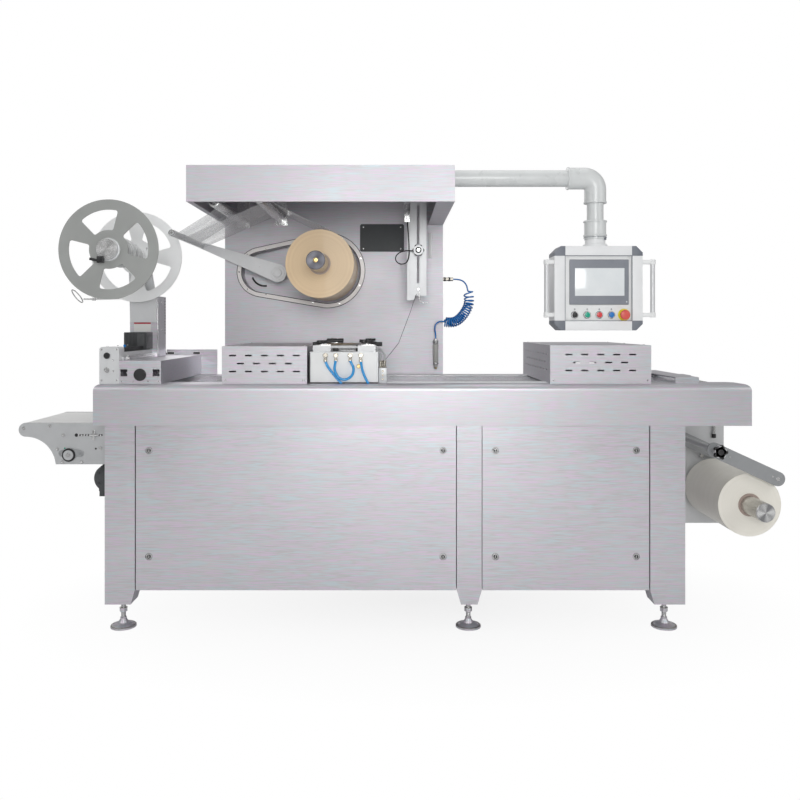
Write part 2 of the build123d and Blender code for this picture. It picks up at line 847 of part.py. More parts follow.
# Cutting unit in front of the reel column
block_x = (cutter_block_left, cutter_block_left + cutter_block_width)
block_y = (cutter_block_y, cutter_block_y + cutter_block_depth)
block_top = table_height + cutter_block_height
column_x = (beam_left, beam_left + reel_column_width)
column_y = (reel_column_front, reel_column_front + reel_column_depth)
with BuildPart() as cutter_axis:
    add_block(block_x, block_y, (table_height, block_top))
    fillet(cutter_axis.edges().filter_by(Axis.Y).group_by(Axis.Z)[-1], radius=cutter_block_radius)
    axis_top = block_top - cutter_beam_drop
    add_block(block_x, (block_y[1], column_y[0]), (axis_top - cutter_beam_height, axis_top))
pieces["cutter_axis"] = cutter_axis

tray_x = (block_x[1], cutter_tray_right)
tray_y = (block_y[0], table_depth - block_y[0])
tray_top = table_height + cutter_tray_height
with BuildPart() as cutter_housing:
    add_block(tray_x, tray_y, (table_height, tray_top))
    hollow_x = (tray_x[0] + sheet, tray_x[1] - sheet)
    hollow_y = (tray_y[0] + sheet, tray_y[1] - sheet)
    add_block(hollow_x, hollow_y, (table_height, tray_top - sheet), mode=Mode.SUBTRACT)
    window_z = (table_height + 30, table_height + 30 + cutter_window)
    front_wall = (tray_y[0], tray_y[0] + sheet)
    for window_x in (tray_x[0] + sheet + 2, tray_x[1] - sheet - 2 - cutter_window):
        add_block((window_x, window_x + cutter_window), front_wall, window_z, mode=Mode.SUBTRACT)
    notch_y = (column_y[0] - sheet, column_y[1] + sheet)
    add_block((tray_x[0], column_x[1] + sheet), notch_y, (table_height, tray_top), mode=Mode.SUBTRACT)
    rear_wall = (tray_y[1] - sheet, tray_y[1])
    plate_z = (table_height, table_height + cutter_plate_height)
    add_block((tray_x[0], tray_x[1] + cutter_plate_wing), rear_wall, plate_z)
    with BuildSketch(face_plane(tray_y[1] - sheet)):
        with Locations(*[(slot_x, cutter_slot_z) for slot_x in cutter_slot_x]):
            SlotOverall(*cutter_slot_size)
    extrude(amount=-sheet, mode=Mode.SUBTRACT)
pieces["cutter_housing"] = cutter_housing

# Waste film reel, its column and motor
with BuildPart() as reel_column:
    add_block(column_x, column_y, (table_height, reel_column_top))
    open_y = (column_y[0] + sheet, column_y[1])
    open_x = (column_x[0] + sheet, column_x[1] - sheet)
    add_block(open_x, open_y, (table_height, reel_column_top - sheet), mode=Mode.SUBTRACT)
pieces["reel_column"] = reel_column

with BuildPart() as reel_bearing:
    with BuildSketch(face_plane(reel_column_front - reel_bearing_thickness)):
        with Locations((reel_x, reel_z)):
            Circle(reel_bearing_radius)
        with Locations((sum(column_x) / 2, reel_column_top - 60)):
            Rectangle(reel_column_width - 10, 110)
        make_hull()
    extrude(amount=-reel_bearing_thickness)
    bore = reel_shaft_radius + running_clearance
    bearing_front = reel_column_front - reel_bearing_thickness
    add_rod(reel_x, reel_z, bore, bearing_front, reel_column_front, mode=Mode.SUBTRACT)
pieces["reel_bearing"] = reel_bearing


def draw_reel_disc(turn):
    """Disc with four wide windows, turned by an angle."""
    Circle(reel_radius)
    with BuildSketch(mode=Mode.PRIVATE) as window:
        with BuildLine():
            outer = CenterArc((0, 0), reel_window_outer, 0, reel_window_sweep)
            inner = CenterArc((0, 0), reel_window_inner, 0, reel_window_sweep)
            Line(outer @ 0, inner @ 0)
            Line(outer @ 1, inner @ 1)
        make_face()
        fillet(window.vertices(), radius=reel_window_corner)
    with PolarLocations(0, 4, start_angle=reel_window_start + turn):
        add(window.sketch, mode=Mode.SUBTRACT)


with BuildPart() as waste_reel:
    for disc_y, turn in ((reel_front, 0), (reel_rear, 30)):
        with BuildSketch(Plane(origin=(reel_x, disc_y, reel_z), x_dir=(1, 0, 0), z_dir=(0, -1, 0))):
            draw_reel_disc(turn)
        extrude(amount=-reel_disc_thickness)
    drum_span = (reel_front + reel_disc_thickness, reel_rear)
    add_rod(reel_x, reel_z, reel_drum_radius, drum_span[0], drum_span[1])
    add_rod(reel_x, reel_z, reel_hub_radius, reel_front - reel_hub_length, reel_front)
    add_rod(reel_x, reel_z, reel_shaft_radius, reel_rear + reel_disc_thickness, column_y[0] + 12)
pieces["waste_reel"] = waste_reel

with BuildPart() as reel_motor:
    motor_x = (column_x[0] + 4, column_x[0] + 4 + motor_width)
    motor_y = (reel_column_front - motor_length, reel_column_front)
    add_block(motor_x, motor_y, (motor_bottom, motor_bottom + motor_height))
pieces["reel_motor"] = reel_motor

# Outfeed conveyor
conveyor_y = (conveyor_front, table_depth - conveyor_front)
nose_radius = conveyor_nose_height / 2
with BuildPart() as conveyor_frame:
    with BuildSketch(face_plane(conveyor_y[0])):
        with BuildLine():
            top_line = Line((conveyor_inner_x, conveyor_top), (conveyor_tip_x + nose_radius, conveyor_top))
            nose = ThreePointArc(
                top_line @ 1,
                (conveyor_tip_x, conveyor_top - nose_radius),
                (conveyor_tip_x + nose_radius, conveyor_top - conveyor_nose_height),
            )
            throat_end = (conveyor_body_x, conveyor_bottom)
            throat = TangentArc(nose @ 1, throat_end, tangent=(1, 0))
            bottom_line = Line(throat @ 1, (conveyor_inner_x, conveyor_bottom))
            Line(bottom_line @ 1, top_line @ 0)
        make_face()
    extrude(amount=-(conveyor_y[1] - conveyor_y[0]))
    gap_y = (conveyor_y[0] + conveyor_plate, conveyor_y[1] - conveyor_plate)
    gap_x = (conveyor_tip_x - 1, conveyor_inner_x + 1)
    add_block(gap_x, gap_y, (conveyor_bottom - 1, conveyor_top + 1), mode=Mode.SUBTRACT)
    tip_roller_x = conveyor_tip_x + nose_radius
    inner_roller_x = conveyor_inner_x - nose_radius - 10
    roller_centre_z = conveyor_top - nose_radius
    for roller_x in (tip_roller_x, inner_roller_x):
        add_rod(roller_x, roller_centre_z, conveyor_roller_radius, gap_y[0], gap_y[1])
    add_rod(conveyor_drive_x, conveyor_drive_z, conveyor_bearing_radius, conveyor_y[0] - 10, conveyor_y[0])
    add_rod(conveyor_drive_x, conveyor_drive_z, spindle_radius, gap_y[0], gap_y[1])
    for bracket_y in ((front_leg_y[1], conveyor_y[0]), (conveyor_y[1], rear_leg_y[0])):
        add_block(conveyor_bracket_x, bracket_y, conveyor_bracket_z)
pieces["conveyor_frame"] = conveyor_frame

with BuildPart() as conveyor_belt:
    belt_y = (gap_y[0] + 6, gap_y[1] - 6)
    belt_centre = ((tip_roller_x + inner_roller_x) / 2, roller_centre_z)
    belt_run = inner_roller_x - tip_roller_x
    with BuildSketch(face_plane(belt_y[0])):
        with Locations(belt_centre):
            SlotCenterToCenter(belt_run, 2 * (conveyor_roller_radius + conveyor_belt_thickness))
            SlotCenterToCenter(belt_run, 2 * conveyor_roller_radius, mode=Mode.SUBTRACT)
    extrude(amount=-(belt_y[1] - belt_y[0]))
pieces["conveyor_belt"] = conveyor_belt

with BuildPart() as conveyor_motor:
    add_rod(gearmotor_x, gearmotor_z, gearmotor_radius, gearmotor_y, gearmotor_y + 150)
    neck_x = (gearmotor_x - 30, gearmotor_x + 30)
    add_block(neck_x, (gearmotor_y + 30, gearmotor_y + 120), (gearmotor_z, conveyor_bottom))
    bridge_y = (conveyor_y[0] + conveyor_plate, conveyor_y[1] - conveyor_plate)
    add_block(neck_x, bridge_y, (conveyor_bottom, conveyor_bottom + 8))
    box_x = (gearmotor_x - 40, gearmotor_x + 40)
    add_block(box_x, (gearmotor_y + 20, gearmotor_y + 100), (gearmotor_z - gearmotor_radius - 24, gearmotor_z))
pieces["conveyor_motor"] = conveyor_motor

# Base film carrier
carrier_y = (table_depth, table_depth + carrier_plate_thickness)
carrier_x = (right_leg_x[0], carrier_plate_right)
base_bearing_front = carrier_y[0] - bearing_length
with BuildPart() as carrier_plate:
    add_block(carrier_x, carrier_y, (carrier_plate_bottom, beam_bottom - 2))
    add_block(right_leg_x, (rear_leg_y[1], carrier_y[0]), (carrier_plate_bottom, beam_bottom - 2))
    add_rod(base_roll_x, base_roll_z, bearing_radius, base_bearing_front, carrier_y[0])
    bore = journal_radius + running_clearance
    add_rod(base_roll_x, base_roll_z, bore, base_bearing_front, carrier_y[1], mode=Mode.SUBTRACT)
    pivot_front = base_arm_front - 40
    add_rod(base_arm_pivot_x, base_arm_pivot_z, base_arm_shaft_radius, pivot_front, carrier_y[0])
    with BuildSketch(face_plane(pivot_front - star_knob_length)):
        with Locations((base_arm_pivot_x, base_arm_pivot_z)):
            Circle(star_knob_radius - 7)
            with PolarLocations(star_knob_radius - 9, 5, start_angle=90):
                Circle(9)
    extrude(amount=-star_knob_length)
pieces["carrier_plate"] = carrier_plate

base_roll_rear = base_roll_front + film_width - 40
with BuildPart() as base_roll:
    add_rod(base_roll_x, base_roll_z, base_roll_radius, base_roll_front, base_roll_rear)
    add_rod(base_roll_x, base_roll_z, shaft_radius, base_roll_front, base_roll_rear, mode=Mode.SUBTRACT)
pieces["base_roll"] = base_roll

with BuildPart() as base_shaft:
    shaft_front = base_roll_front - base_shaft_overhang
    add_rod(base_roll_x, base_roll_z, shaft_radius, shaft_front, base_bearing_front - 6)
    add_rod(base_roll_x, base_roll_z, journal_radius, base_bearing_front - 6, carrier_y[1])
    chamfer(base_shaft.edges().group_by(Axis.Y)[0], length=3)
pieces["base_shaft"] = base_shaft

arm_turn = math.radians(base_arm_angle)
base_tip_x = base_arm_pivot_x + base_arm_length * math.cos(arm_turn)
base_tip_z = base_arm_pivot_z + base_arm_length * math.sin(arm_turn)
base_arm_rear = carrier_y[0] - 20
with BuildPart() as base_arm:
    arm_bore = base_arm_shaft_radius + running_clearance
    for plate_front in (base_arm_front, base_arm_rear - base_arm_plate):
        with BuildSketch(face_plane(plate_front)):
            with Locations((base_arm_pivot_x, base_arm_pivot_z), (base_tip_x, base_tip_z)):
                Circle(base_arm_half_width)
            make_hull()
            with Locations((base_arm_pivot_x, base_arm_pivot_z)):
                Circle(arm_bore, mode=Mode.SUBTRACT)
        extrude(amount=-base_arm_plate)
    roller_span = (base_arm_front + base_arm_plate, base_arm_rear - base_arm_plate)
    add_rod(base_tip_x, base_tip_z, base_arm_roller_radius, roller_span[0], roller_span[1])
pieces["base_arm"] = base_arm

# Control panel arm
with BuildPart() as hmi_arm:
    elbow_start = hmi_x - hmi_elbow_reach
    with BuildSketch(Plane(origin=(cabinet_right, hmi_arm_y, hmi_arm_z), z_dir=(1, 0, 0))):
        Circle(hmi_tube_radius)
    extrude(amount=elbow_start - cabinet_right)
    with BuildLine(Plane.XZ.offset(-hmi_arm_y)) as elbow_line:
        FilletPolyline(
            (elbow_start, hmi_arm_z),
            (hmi_x, hmi_arm_z),
            (hmi_x, hmi_elbow_bottom),
            radius=hmi_elbow_radius + 2,
        )
    with BuildSketch(Plane(origin=elbow_line.line @ 0, z_dir=elbow_line.line % 0)):
        Circle(hmi_elbow_radius)
    sweep(path=elbow_line.line)
    with BuildSketch(Plane.XY.offset(hmi_coupling_split + swivel_clearance)):
        with Locations((hmi_x, hmi_arm_y)):
            Circle(hmi_elbow_radius)
    extrude(amount=hmi_coupling_top - hmi_coupling_split - swivel_clearance)
    with BuildSketch(Plane.XY.offset(hmi_coupling_top)):
        with Locations((hmi_x, hmi_arm_y)):
            Circle(hmi_tube_radius)
    extrude(amount=hmi_elbow_bottom - hmi_coupling_top)
pieces["hmi_arm"] = hmi_arm

hmi_front = hmi_arm_y - hmi_depth / 2
hmi_rear = hmi_arm_y + hmi_depth / 2
hmi_bottom = hmi_top - hmi_height
with BuildPart() as hmi_box:
    with BuildSketch(face_plane(hmi_front)):
        with Locations((hmi_x, (hmi_top + hmi_bottom) / 2)):
            Rectangle(hmi_width, hmi_height)
    extrude(amount=-hmi_depth)
    chamfer(hmi_box.edges().filter_by(Axis.Y), length=hmi_corner_cut)
    with BuildSketch(Plane.XY.offset(hmi_top)):
        with Locations((hmi_x, hmi_arm_y)):
            Circle(hmi_elbow_radius)
    extrude(amount=hmi_coupling_split - hmi_top)
pieces["hmi_box"] = hmi_box

screen_top = hmi_top - hmi_screen_drop
with BuildPart() as hmi_screen:
    with BuildSketch(face_plane(hmi_front - hmi_screen_thickness)):
        with Locations((hmi_x, screen_top - hmi_screen_height / 2)):
            RectangleRounded(hmi_screen_width, hmi_screen_height, 5)
    extrude(amount=-hmi_screen_thickness)
pieces["hmi_screen"] = hmi_screen

with BuildPart() as hmi_controls:
    button_z = hmi_top - hmi_button_drop
    for index in range(4):
        button_x = hmi_x + hmi_buttons_from + index * hmi_button_pitch
        add_rod(button_x, button_z, hmi_button_radius, hmi_front - hmi_button_length, hmi_front)
    stop_x = hmi_x + hmi_stop_x
    add_rod(stop_x, button_z, hmi_stop_plate_radius, hmi_front - 4, hmi_front)
    add_rod(stop_x, button_z, hmi_stop_radius - 8, hmi_front - 22, hmi_front - 4)
    add_rod(stop_x, button_z, hmi_stop_radius, hmi_front - 34, hmi_front - 22)
pieces["hmi_controls"] = hmi_controls

with BuildPart() as hmi_handles:
    handle_y = hmi_front + hmi_handle_setback
    handle_centre = hmi_top - hmi_height / 2
    handle_z = (handle_centre - hmi_handle_height / 2, handle_centre + hmi_handle_height / 2)
    for side in (-1, 1):
        wall_x = hmi_x + side * hmi_width / 2
        handle_x = wall_x + side * hmi_handle_reach
        with BuildSketch(Plane.XY.offset(handle_z[0])):
            with Locations((handle_x, handle_y)):
                Circle(hmi_handle_radius)
        extrude(amount=hmi_handle_height)
        for lug_z in (handle_z[0] + 14, handle_z[1] - 14):
            lug_span = (min(wall_x, handle_x), max(wall_x, handle_x))
            add_block(lug_span, (handle_y - 7, handle_y + 7), (lug_z - 9, lug_z + 9))
pieces["hmi_handles"] = hmi_handles

# Air coupling, spiral hose and air gun
coupling_end = cabinet_right + air_coupling_length
lead_route = [(coupling_end, air_coupling_y, air_coupling_z)] + lead_middle + [coil_route[0]]
gun_x, gun_y, gun_top = tail_route[-1]
with BuildPart() as air_fittings:
    with BuildSketch(Plane.YZ.offset(cabinet_right)):
        with Locations((air_coupling_y, air_coupling_z)):
            Circle(air_coupling_radius)
    extrude(amount=air_coupling_length)
    clip_x = (gun_x - air_clip_width / 2, gun_x + air_clip_width / 2)
    clip_z = (gun_top - 40, gun_top - 40 + air_clip_height)
    add_block(clip_x, (gun_y + air_gun_radius, cabinet_front), clip_z)
pieces["air_fittings"] = air_fittings


def tube_along(points, radius):
    """Round tube along a hose route."""
    with BuildPart() as tube:
        with BuildLine() as line:
            hose_path(points)
        with BuildSketch(Plane(origin=line.line @ 0, z_dir=line.line % 0)):
            Circle(radius)
        sweep(path=line.line)
    length = sum(edge.length for edge in line.edges())
    share = tube.part.volume / (math.pi * radius**2 * length)
    print("tube length", round(length, 1), "volume share", round(share, 4))
    return tube


pieces["air_hose_lead"] = tube_along(lead_route, air_hose_radius)
pieces["air_hose_coil"] = tube_along(coil_route, air_coil_radius)
pieces["air_hose_tail"] = tube_along(tail_route, air_hose_radius)

with BuildPart() as air_gun:
    with BuildSketch(Plane.XZ.offset(-gun_y)):
        with BuildLine():
            Polyline(
                (gun_x, gun_top),
                (gun_x + 7, gun_top),
                (gun_x + 7, gun_top - 16),
                (gun_x + air_gun_radius, gun_top - 22),
                (gun_x + air_gun_radius, gun_top - 96),
                (gun_x + 9, gun_top - 104),
                (gun_x + 9, gun_top - air_gun_length),
                (gun_x, gun_top - air_gun_length),
                close=True,
            )
        make_face()
    revolve(axis=Axis((gun_x, gun_y, 0), (0, 0, 1)))
pieces["air_gun"] = air_gun

os.makedirs("parts", exist_ok=True)
for name, piece in pieces.items():
    piece.part.label = name
    export_step(piece.part, f"parts/{name}.step")
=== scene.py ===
"""Looks of a thermoforming packaging machine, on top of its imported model."""

import math

import bmesh
import bpy
from mathutils import Matrix, Vector


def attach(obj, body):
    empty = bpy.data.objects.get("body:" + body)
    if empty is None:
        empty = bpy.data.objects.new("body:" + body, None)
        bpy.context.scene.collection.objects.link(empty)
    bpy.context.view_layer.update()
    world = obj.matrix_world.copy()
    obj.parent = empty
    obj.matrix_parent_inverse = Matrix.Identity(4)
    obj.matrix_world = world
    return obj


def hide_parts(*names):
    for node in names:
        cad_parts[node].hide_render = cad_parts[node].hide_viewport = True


bl_info = {
    "name": "Packaging Machine Looks",
    "version": (1, 0, 0),
    "blender": (4, 5, 0),
    "location": "3D View > Sidebar > Packaging",
    "description": "Dresses the packed model of a thermoforming packaging machine",
    "category": "Add Mesh",
}

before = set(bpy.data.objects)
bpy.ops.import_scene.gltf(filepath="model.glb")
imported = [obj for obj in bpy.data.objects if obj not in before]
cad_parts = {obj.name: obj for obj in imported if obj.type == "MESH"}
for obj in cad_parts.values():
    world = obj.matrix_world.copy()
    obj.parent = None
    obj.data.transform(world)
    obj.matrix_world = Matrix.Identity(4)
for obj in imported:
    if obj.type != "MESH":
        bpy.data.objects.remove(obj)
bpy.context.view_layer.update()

MM = 0.001
SHARP_ANGLE = math.radians(35)
FRAME_BODY = "machine_frame"
FRONT = (0, -1, 0)
REAR = (0, 1, 0)
UP = (0, 0, 1)
DOWN = (0, 0, -1)
RIGHT = (1, 0, 0)
WHITE = (1, 1, 1, 1)

# Axes that run front to rear, in X and Z, in millimetres
LIDDING_X, LIDDING_Z = -421, 1437
WASTE_X, WASTE_Z = -1228, 1475
BASE_X, BASE_Z = 1380, 426
POCKET_X, POCKET_Z = -731, 1430
MOTOR_X, MOTOR_Z = -1290, 548
# Front faces of plates, in Y
CABINET_FACE = 697
CONVEYOR_FACE = 140
CARRIER_FACE = 700
FORMING_FACE = 37.5
# Where gripping strips sit, from their shaft's axis
STRIP_DEPTH = 36.6
# Middle of the panel's tube in X and Y, and of the air gun in X
TUBE_X, TUBE_Y = 678, 50
GUN_X = 0.088 / MM


class Value:
    """A shader socket that takes part in Python sums."""

    def __init__(self, nodes, socket):
        self.nodes = nodes
        self.socket = socket

    def combine(self, operation, first, second):
        return self.nodes.node("ShaderNodeMath", {"operation": operation}, {0: first, 1: second})

    def __add__(self, other):
        return self.combine("ADD", self, other)

    def __sub__(self, other):
        return self.combine("SUBTRACT", self, other)

    def __rsub__(self, other):
        return self.combine("SUBTRACT", other, self)

    def __mul__(self, other):
        return self.combine("MULTIPLY", self, other)

    def __pow__(self, other):
        return self.combine("POWER", self, other)

    def __rpow__(self, other):
        return self.combine("POWER", other, self)

    __radd__ = __add__
    __rmul__ = __mul__

    def above(self, level):
        return self.combine("GREATER_THAN", self, level)


class Nodes:
    """A node tree that is filled from plain values and sums."""

    def __init__(self, tree):
        self.tree = tree

    def feed(self, socket, value):
        if isinstance(value, Value):
            self.tree.links.new(value.socket, socket)
        else:
            socket.default_value = value

    def node(self, kind, settings=None, sockets=None, output=0):
        made = self.tree.nodes.new(kind)
        for name, value in (settings or {}).items():
            setattr(made, name, value)
        for name, value in (sockets or {}).items():
            self.feed(made.inputs[name], value)
        return Value(self, made.outputs[output])

    def show(self, output, shader):
        self.feed(self.tree.nodes[output].inputs["Surface"], shader)

    def mixed(self, factor, first, second):
        return self.node("ShaderNodeMixShader", {}, {0: factor, 1: first, 2: second})


class Surface(Nodes):
    """A material and the patterns that its finish is made of."""

    def __init__(self, name):
        self.material = bpy.data.materials.new(name)
        self.material.use_nodes = True
        super().__init__(self.material.node_tree)
        self.shader = self.tree.nodes["Principled BSDF"]

    def set(self, **sockets):
        for name, value in sockets.items():
            self.feed(self.shader.inputs[name.replace("_", " ")], value)
        return self.material

    def place(self):
        return self.node("ShaderNodeTexCoord", output="Object")

    def part(self, axis, vector=None):
        """One coordinate of a vector, or of the place on the surface."""
        return self.node("ShaderNodeSeparateXYZ", {}, {0: vector or self.place()}, output=axis)

    def stretched(self, *scale):
        return self.node("ShaderNodeMapping", {}, {"Vector": self.place(), "Scale": scale})

    def noise(self, scale, detail=2.0, roughness=0.5, vector=None):
        sockets = {"Scale": scale, "Detail": detail, "Roughness": roughness, "Vector": vector or self.place()}
        return self.node("ShaderNodeTexNoise", {}, sockets)

    def grain(self, scale, detail=2.0, roughness=0.5):
        """Noise stretched by its own scale along X, Y and Z."""
        return self.noise(1.0, detail, roughness, self.stretched(*scale))

    def ring_noise(self, radius, scale, detail=2.0):
        sockets = {"W": radius, "Scale": scale, "Detail": detail}
        return self.node("ShaderNodeTexNoise", {"noise_dimensions": "1D"}, sockets)

    def spread(self, value, low, high, to_low=0.0, to_high=1.0):
        sockets = {"Value": value, "From Min": low, "From Max": high, "To Min": to_low, "To Max": to_high}
        return self.node("ShaderNodeMapRange", {}, sockets)

    def around(self, value, middle, below, above):
        """Noise turned into values that lie below and above a middle one."""
        return self.spread(value, 0.3, 0.7, middle - below, middle + above)

    def tint(self, factor, first, second):
        """Mix of two colours, each plain or from a node."""
        first, second = (part if isinstance(part, Value) else (*part, 1.0) for part in (first, second))
        return self.node("ShaderNodeMix", {"data_type": "RGBA"}, {0: factor, 6: first, 7: second}, output=2)

    def relief(self, height, distance, strength=1.0):
        sockets = {"Height": height, "Distance": distance, "Strength": strength}
        return self.node("ShaderNodeBump", {}, sockets)

    def facing(self, axis):
        """Where the surface faces along an axis, to either side."""
        normal = self.node("ShaderNodeNewGeometry", output="Normal")
        share = self.node("ShaderNodeMath", {"operation": "ABSOLUTE"}, {0: self.part(axis, normal)})
        return share.above(0.7)

    def from_axis(self, x, z):
        """Place across and up from a line that runs front to rear, in millimetres."""
        return self.part("X") - x * MM, self.part("Z") - z * MM

    def radius(self, x, z):
        """Distance from a line that runs front to rear."""
        across, up = self.from_axis(x, z)
        return (across * across + up * up) ** 0.5


def scaled(colour, *factors):
    """Colour times one factor, or times a factor for each of its parts."""
    return tuple(part * factors[index % len(factors)] for index, part in enumerate(colour))


def brushed_steel(name, light, dark, roughness=0.38, metallic=0.85):
    """Stainless sheet with fine lines along its length and a faint pink and blue shimmer."""
    surface = Surface(name)
    along_x = surface.grain((5, 900, 900), 3.0, 0.65)
    along_y = surface.grain((900, 5, 900), 3.0, 0.65)
    sideways = surface.facing("X")
    lines = along_x * (1 - sideways) + along_y * sideways
    streaks = surface.grain((9, 150, 150))
    cloud = surface.noise(2.2, 3.0)
    tone = surface.spread(lines * 0.4 + streaks * 0.4 + cloud * 0.2, 0.38, 0.62)
    hue = surface.grain((13, 210, 210), 1.0)
    steel = surface.tint(tone, dark, light)
    pink = surface.tint(surface.spread(hue, 0.5, 0.68), steel, scaled(light, 1.02, 0.9, 1.04))
    blue = surface.tint(surface.spread(hue, 0.5, 0.32), pink, scaled(light, 0.88, 1.0, 1.03))
    return surface.set(
        Base_Color=blue,
        Metallic=metallic,
        Roughness=surface.around(lines * 0.6 + cloud * 0.4, roughness, 0.07, 0.09),
        Normal=surface.relief(lines, 0.00012, 0.35),
    )


def bead_blasted(name, light, dark, roughness=0.42, metallic=0.35):
    """Machined and anodised plate with a fine even grain."""
    surface = Surface(name)
    grain = surface.noise(900, 2.0, 0.6)
    cloud = surface.noise(5, 3.0, 0.55)
    wear = surface.noise(38, 4.0, 0.7)
    tone = surface.spread(grain * 0.3 + cloud * 0.5 + wear * 0.2, 0.35, 0.65)
    return surface.set(
        Base_Color=surface.tint(tone, dark, light),
        Metallic=metallic,
        Roughness=surface.around(cloud * 0.5 + grain * 0.5, roughness, 0.06, 0.08),
        Normal=surface.relief(grain, 0.00006, 0.3),
    )


def turned_metal(name, light, dark, roughness=0.22):
    """Bright turned steel with faint tool marks."""
    surface = Surface(name)
    marks = surface.grain((120, 1500, 120), 2.0, 0.6)
    cloud = surface.noise(9, 3.0)
    tone = surface.spread(marks * 0.5 + cloud * 0.5, 0.35, 0.65)
    return surface.set(
        Base_Color=surface.tint(tone, dark, light),
        Metallic=1.0,
        Roughness=surface.around(marks, roughness, 0.06, 0.08),
        Normal=surface.relief(marks, 0.00004, 0.3),
    )


def moulded_plastic(name, light, dark, roughness=0.4, coat=0.0):
    """Moulded or painted surface with a fine orange-peel grain."""
    surface = Surface(name)
    grain = surface.noise(1400)
    cloud = surface.noise(14, 3.0, 0.6)
    tone = surface.spread(grain * 0.35 + cloud * 0.65, 0.35, 0.65)
    return surface.set(
        Base_Color=surface.tint(tone, dark, light),
        Roughness=surface.around(cloud, roughness, 0.05, 0.07),
        Coat_Weight=coat,
        Normal=surface.relief(grain, 0.00005, 0.35),
    )


def wound_film(name, light, dark, x, z, roughness=0.35):
    """Roll of film: rings on its ends and faint bands along its outside."""
    surface = Surface(name)
    radius = surface.radius(x, z)
    rings = surface.ring_noise(radius, 1300, 3.0)
    broad = surface.ring_noise(radius, 110)
    bands = surface.grain((1.5, 60, 1.5))
    ends = surface.facing("Y")
    tone = (rings * 0.55 + broad * 0.45) * ends + bands * (1 - ends)
    return surface.set(
        Base_Color=surface.tint(surface.spread(tone, 0.36, 0.64), dark, light),
        Roughness=surface.around(tone, roughness, 0.05, 0.12),
        Coat_Weight=0.15,
        Normal=surface.relief(tone, 0.00015, 0.4),
    )


def clear_film(name, light, dark, alpha):
    """Thin clear film with soft ripples."""
    surface = Surface(name)
    ripple = surface.grain((3, 9, 3), 2.0, 0.4)
    return surface.set(
        Base_Color=surface.tint(ripple, dark, light),
        Roughness=0.12,
        Alpha=surface.around(ripple, alpha, 0.08, 0.1),
        Normal=surface.relief(ripple, 0.003, 0.4),
    )


def woven_belt(name, light, dark):
    """Food belt with a fine square weave."""
    surface = Surface(name)
    warp = surface.grain((700, 30, 700), 1.0, 0.4)
    weft = surface.grain((30, 700, 30), 1.0, 0.4)
    soil = surface.noise(7, 4.0, 0.6)
    weave = warp * 0.5 + weft * 0.5
    tone = surface.spread(weave * 0.5 + soil * 0.5, 0.35, 0.65)
    return surface.set(
        Base_Color=surface.tint(tone, dark, light),
        Roughness=surface.spread(soil, 0.3, 0.7, 0.5, 0.68),
        Normal=surface.relief(weave, 0.0002, 0.5),
    )


def turned_face(name, light, dark, x, z, roughness=0.26, metallic=0.9):
    """Faced end of a turned bar with fine rings, and painted highlights: wedges of reflected light painted
    into its colour by their angle round the axis.
    """
    surface = Surface(name)
    across, up = surface.from_axis(x, z)
    angle = surface.node("ShaderNodeMath", {"operation": "ARCTAN2"}, {0: up, 1: across})
    # painted highlights: waves round the axis that make bright and dark wedges of reflected light
    wave, slow = (
        surface.node("ShaderNodeMath", {"operation": "SINE"}, {0: angle * count + start})
        for count, start in ((4, 0.8), (2, 2.1))
    )
    rings = surface.ring_noise(surface.radius(x, z), 2600)
    ends = surface.facing("Y")
    # the painted highlight wedges sit on the end faces only; the sides get an even middle tone
    painted_glint_wedges = (wave * 0.3 + slow * 0.25 + 0.5) * ends + (1 - ends) * 0.5
    tone = surface.spread(painted_glint_wedges + (rings - 0.5) * 0.5, 0.1, 0.9)
    return surface.set(
        Base_Color=surface.tint(tone, dark, light),
        Metallic=metallic,
        Roughness=surface.around(rings, roughness, 0.05, 0.1),
        Normal=surface.relief(rings, 0.00006, 0.4),
    )


def streaked_film(name, light, dark, alpha):
    """Loose windings of trimmed film."""
    surface = Surface(name)
    strands = surface.grain((30, 420, 30), 3.0, 0.6)
    cloud = surface.noise(22, 3.0, 0.6)
    tone = surface.spread(strands * 0.7 + cloud * 0.3, 0.35, 0.65)
    return surface.set(
        Base_Color=surface.tint(tone, dark, light),
        Roughness=surface.spread(cloud, 0.3, 0.7, 0.16, 0.34),
        Alpha=surface.spread(tone, 0.0, 1.0, alpha - 0.15, alpha + 0.15),
        Normal=surface.relief(tone, 0.0012, 0.6),
    )


def reel_plate(name, front, rear, split_y):
    """Two reel discs in one finish: a painted one in front and a pale one behind."""
    surface = Surface(name)
    grain = surface.noise(900, 2.0, 0.6)
    cloud = surface.noise(6, 3.0, 0.55)
    shade = surface.spread(grain * 0.3 + cloud * 0.7, 0.35, 0.65)
    ahead = surface.tint(shade, scaled(front, 0.88), front)
    behind = surface.tint(shade, scaled(rear, 0.9), rear)
    return surface.set(
        Base_Color=surface.tint(surface.part("Y").above(split_y), ahead, behind),
        Metallic=0.12,
        Roughness=surface.spread(cloud * 0.5 + grain * 0.5, 0.3, 0.7, 0.42, 0.56),
        Normal=surface.relief(grain, 0.00006, 0.3),
    )


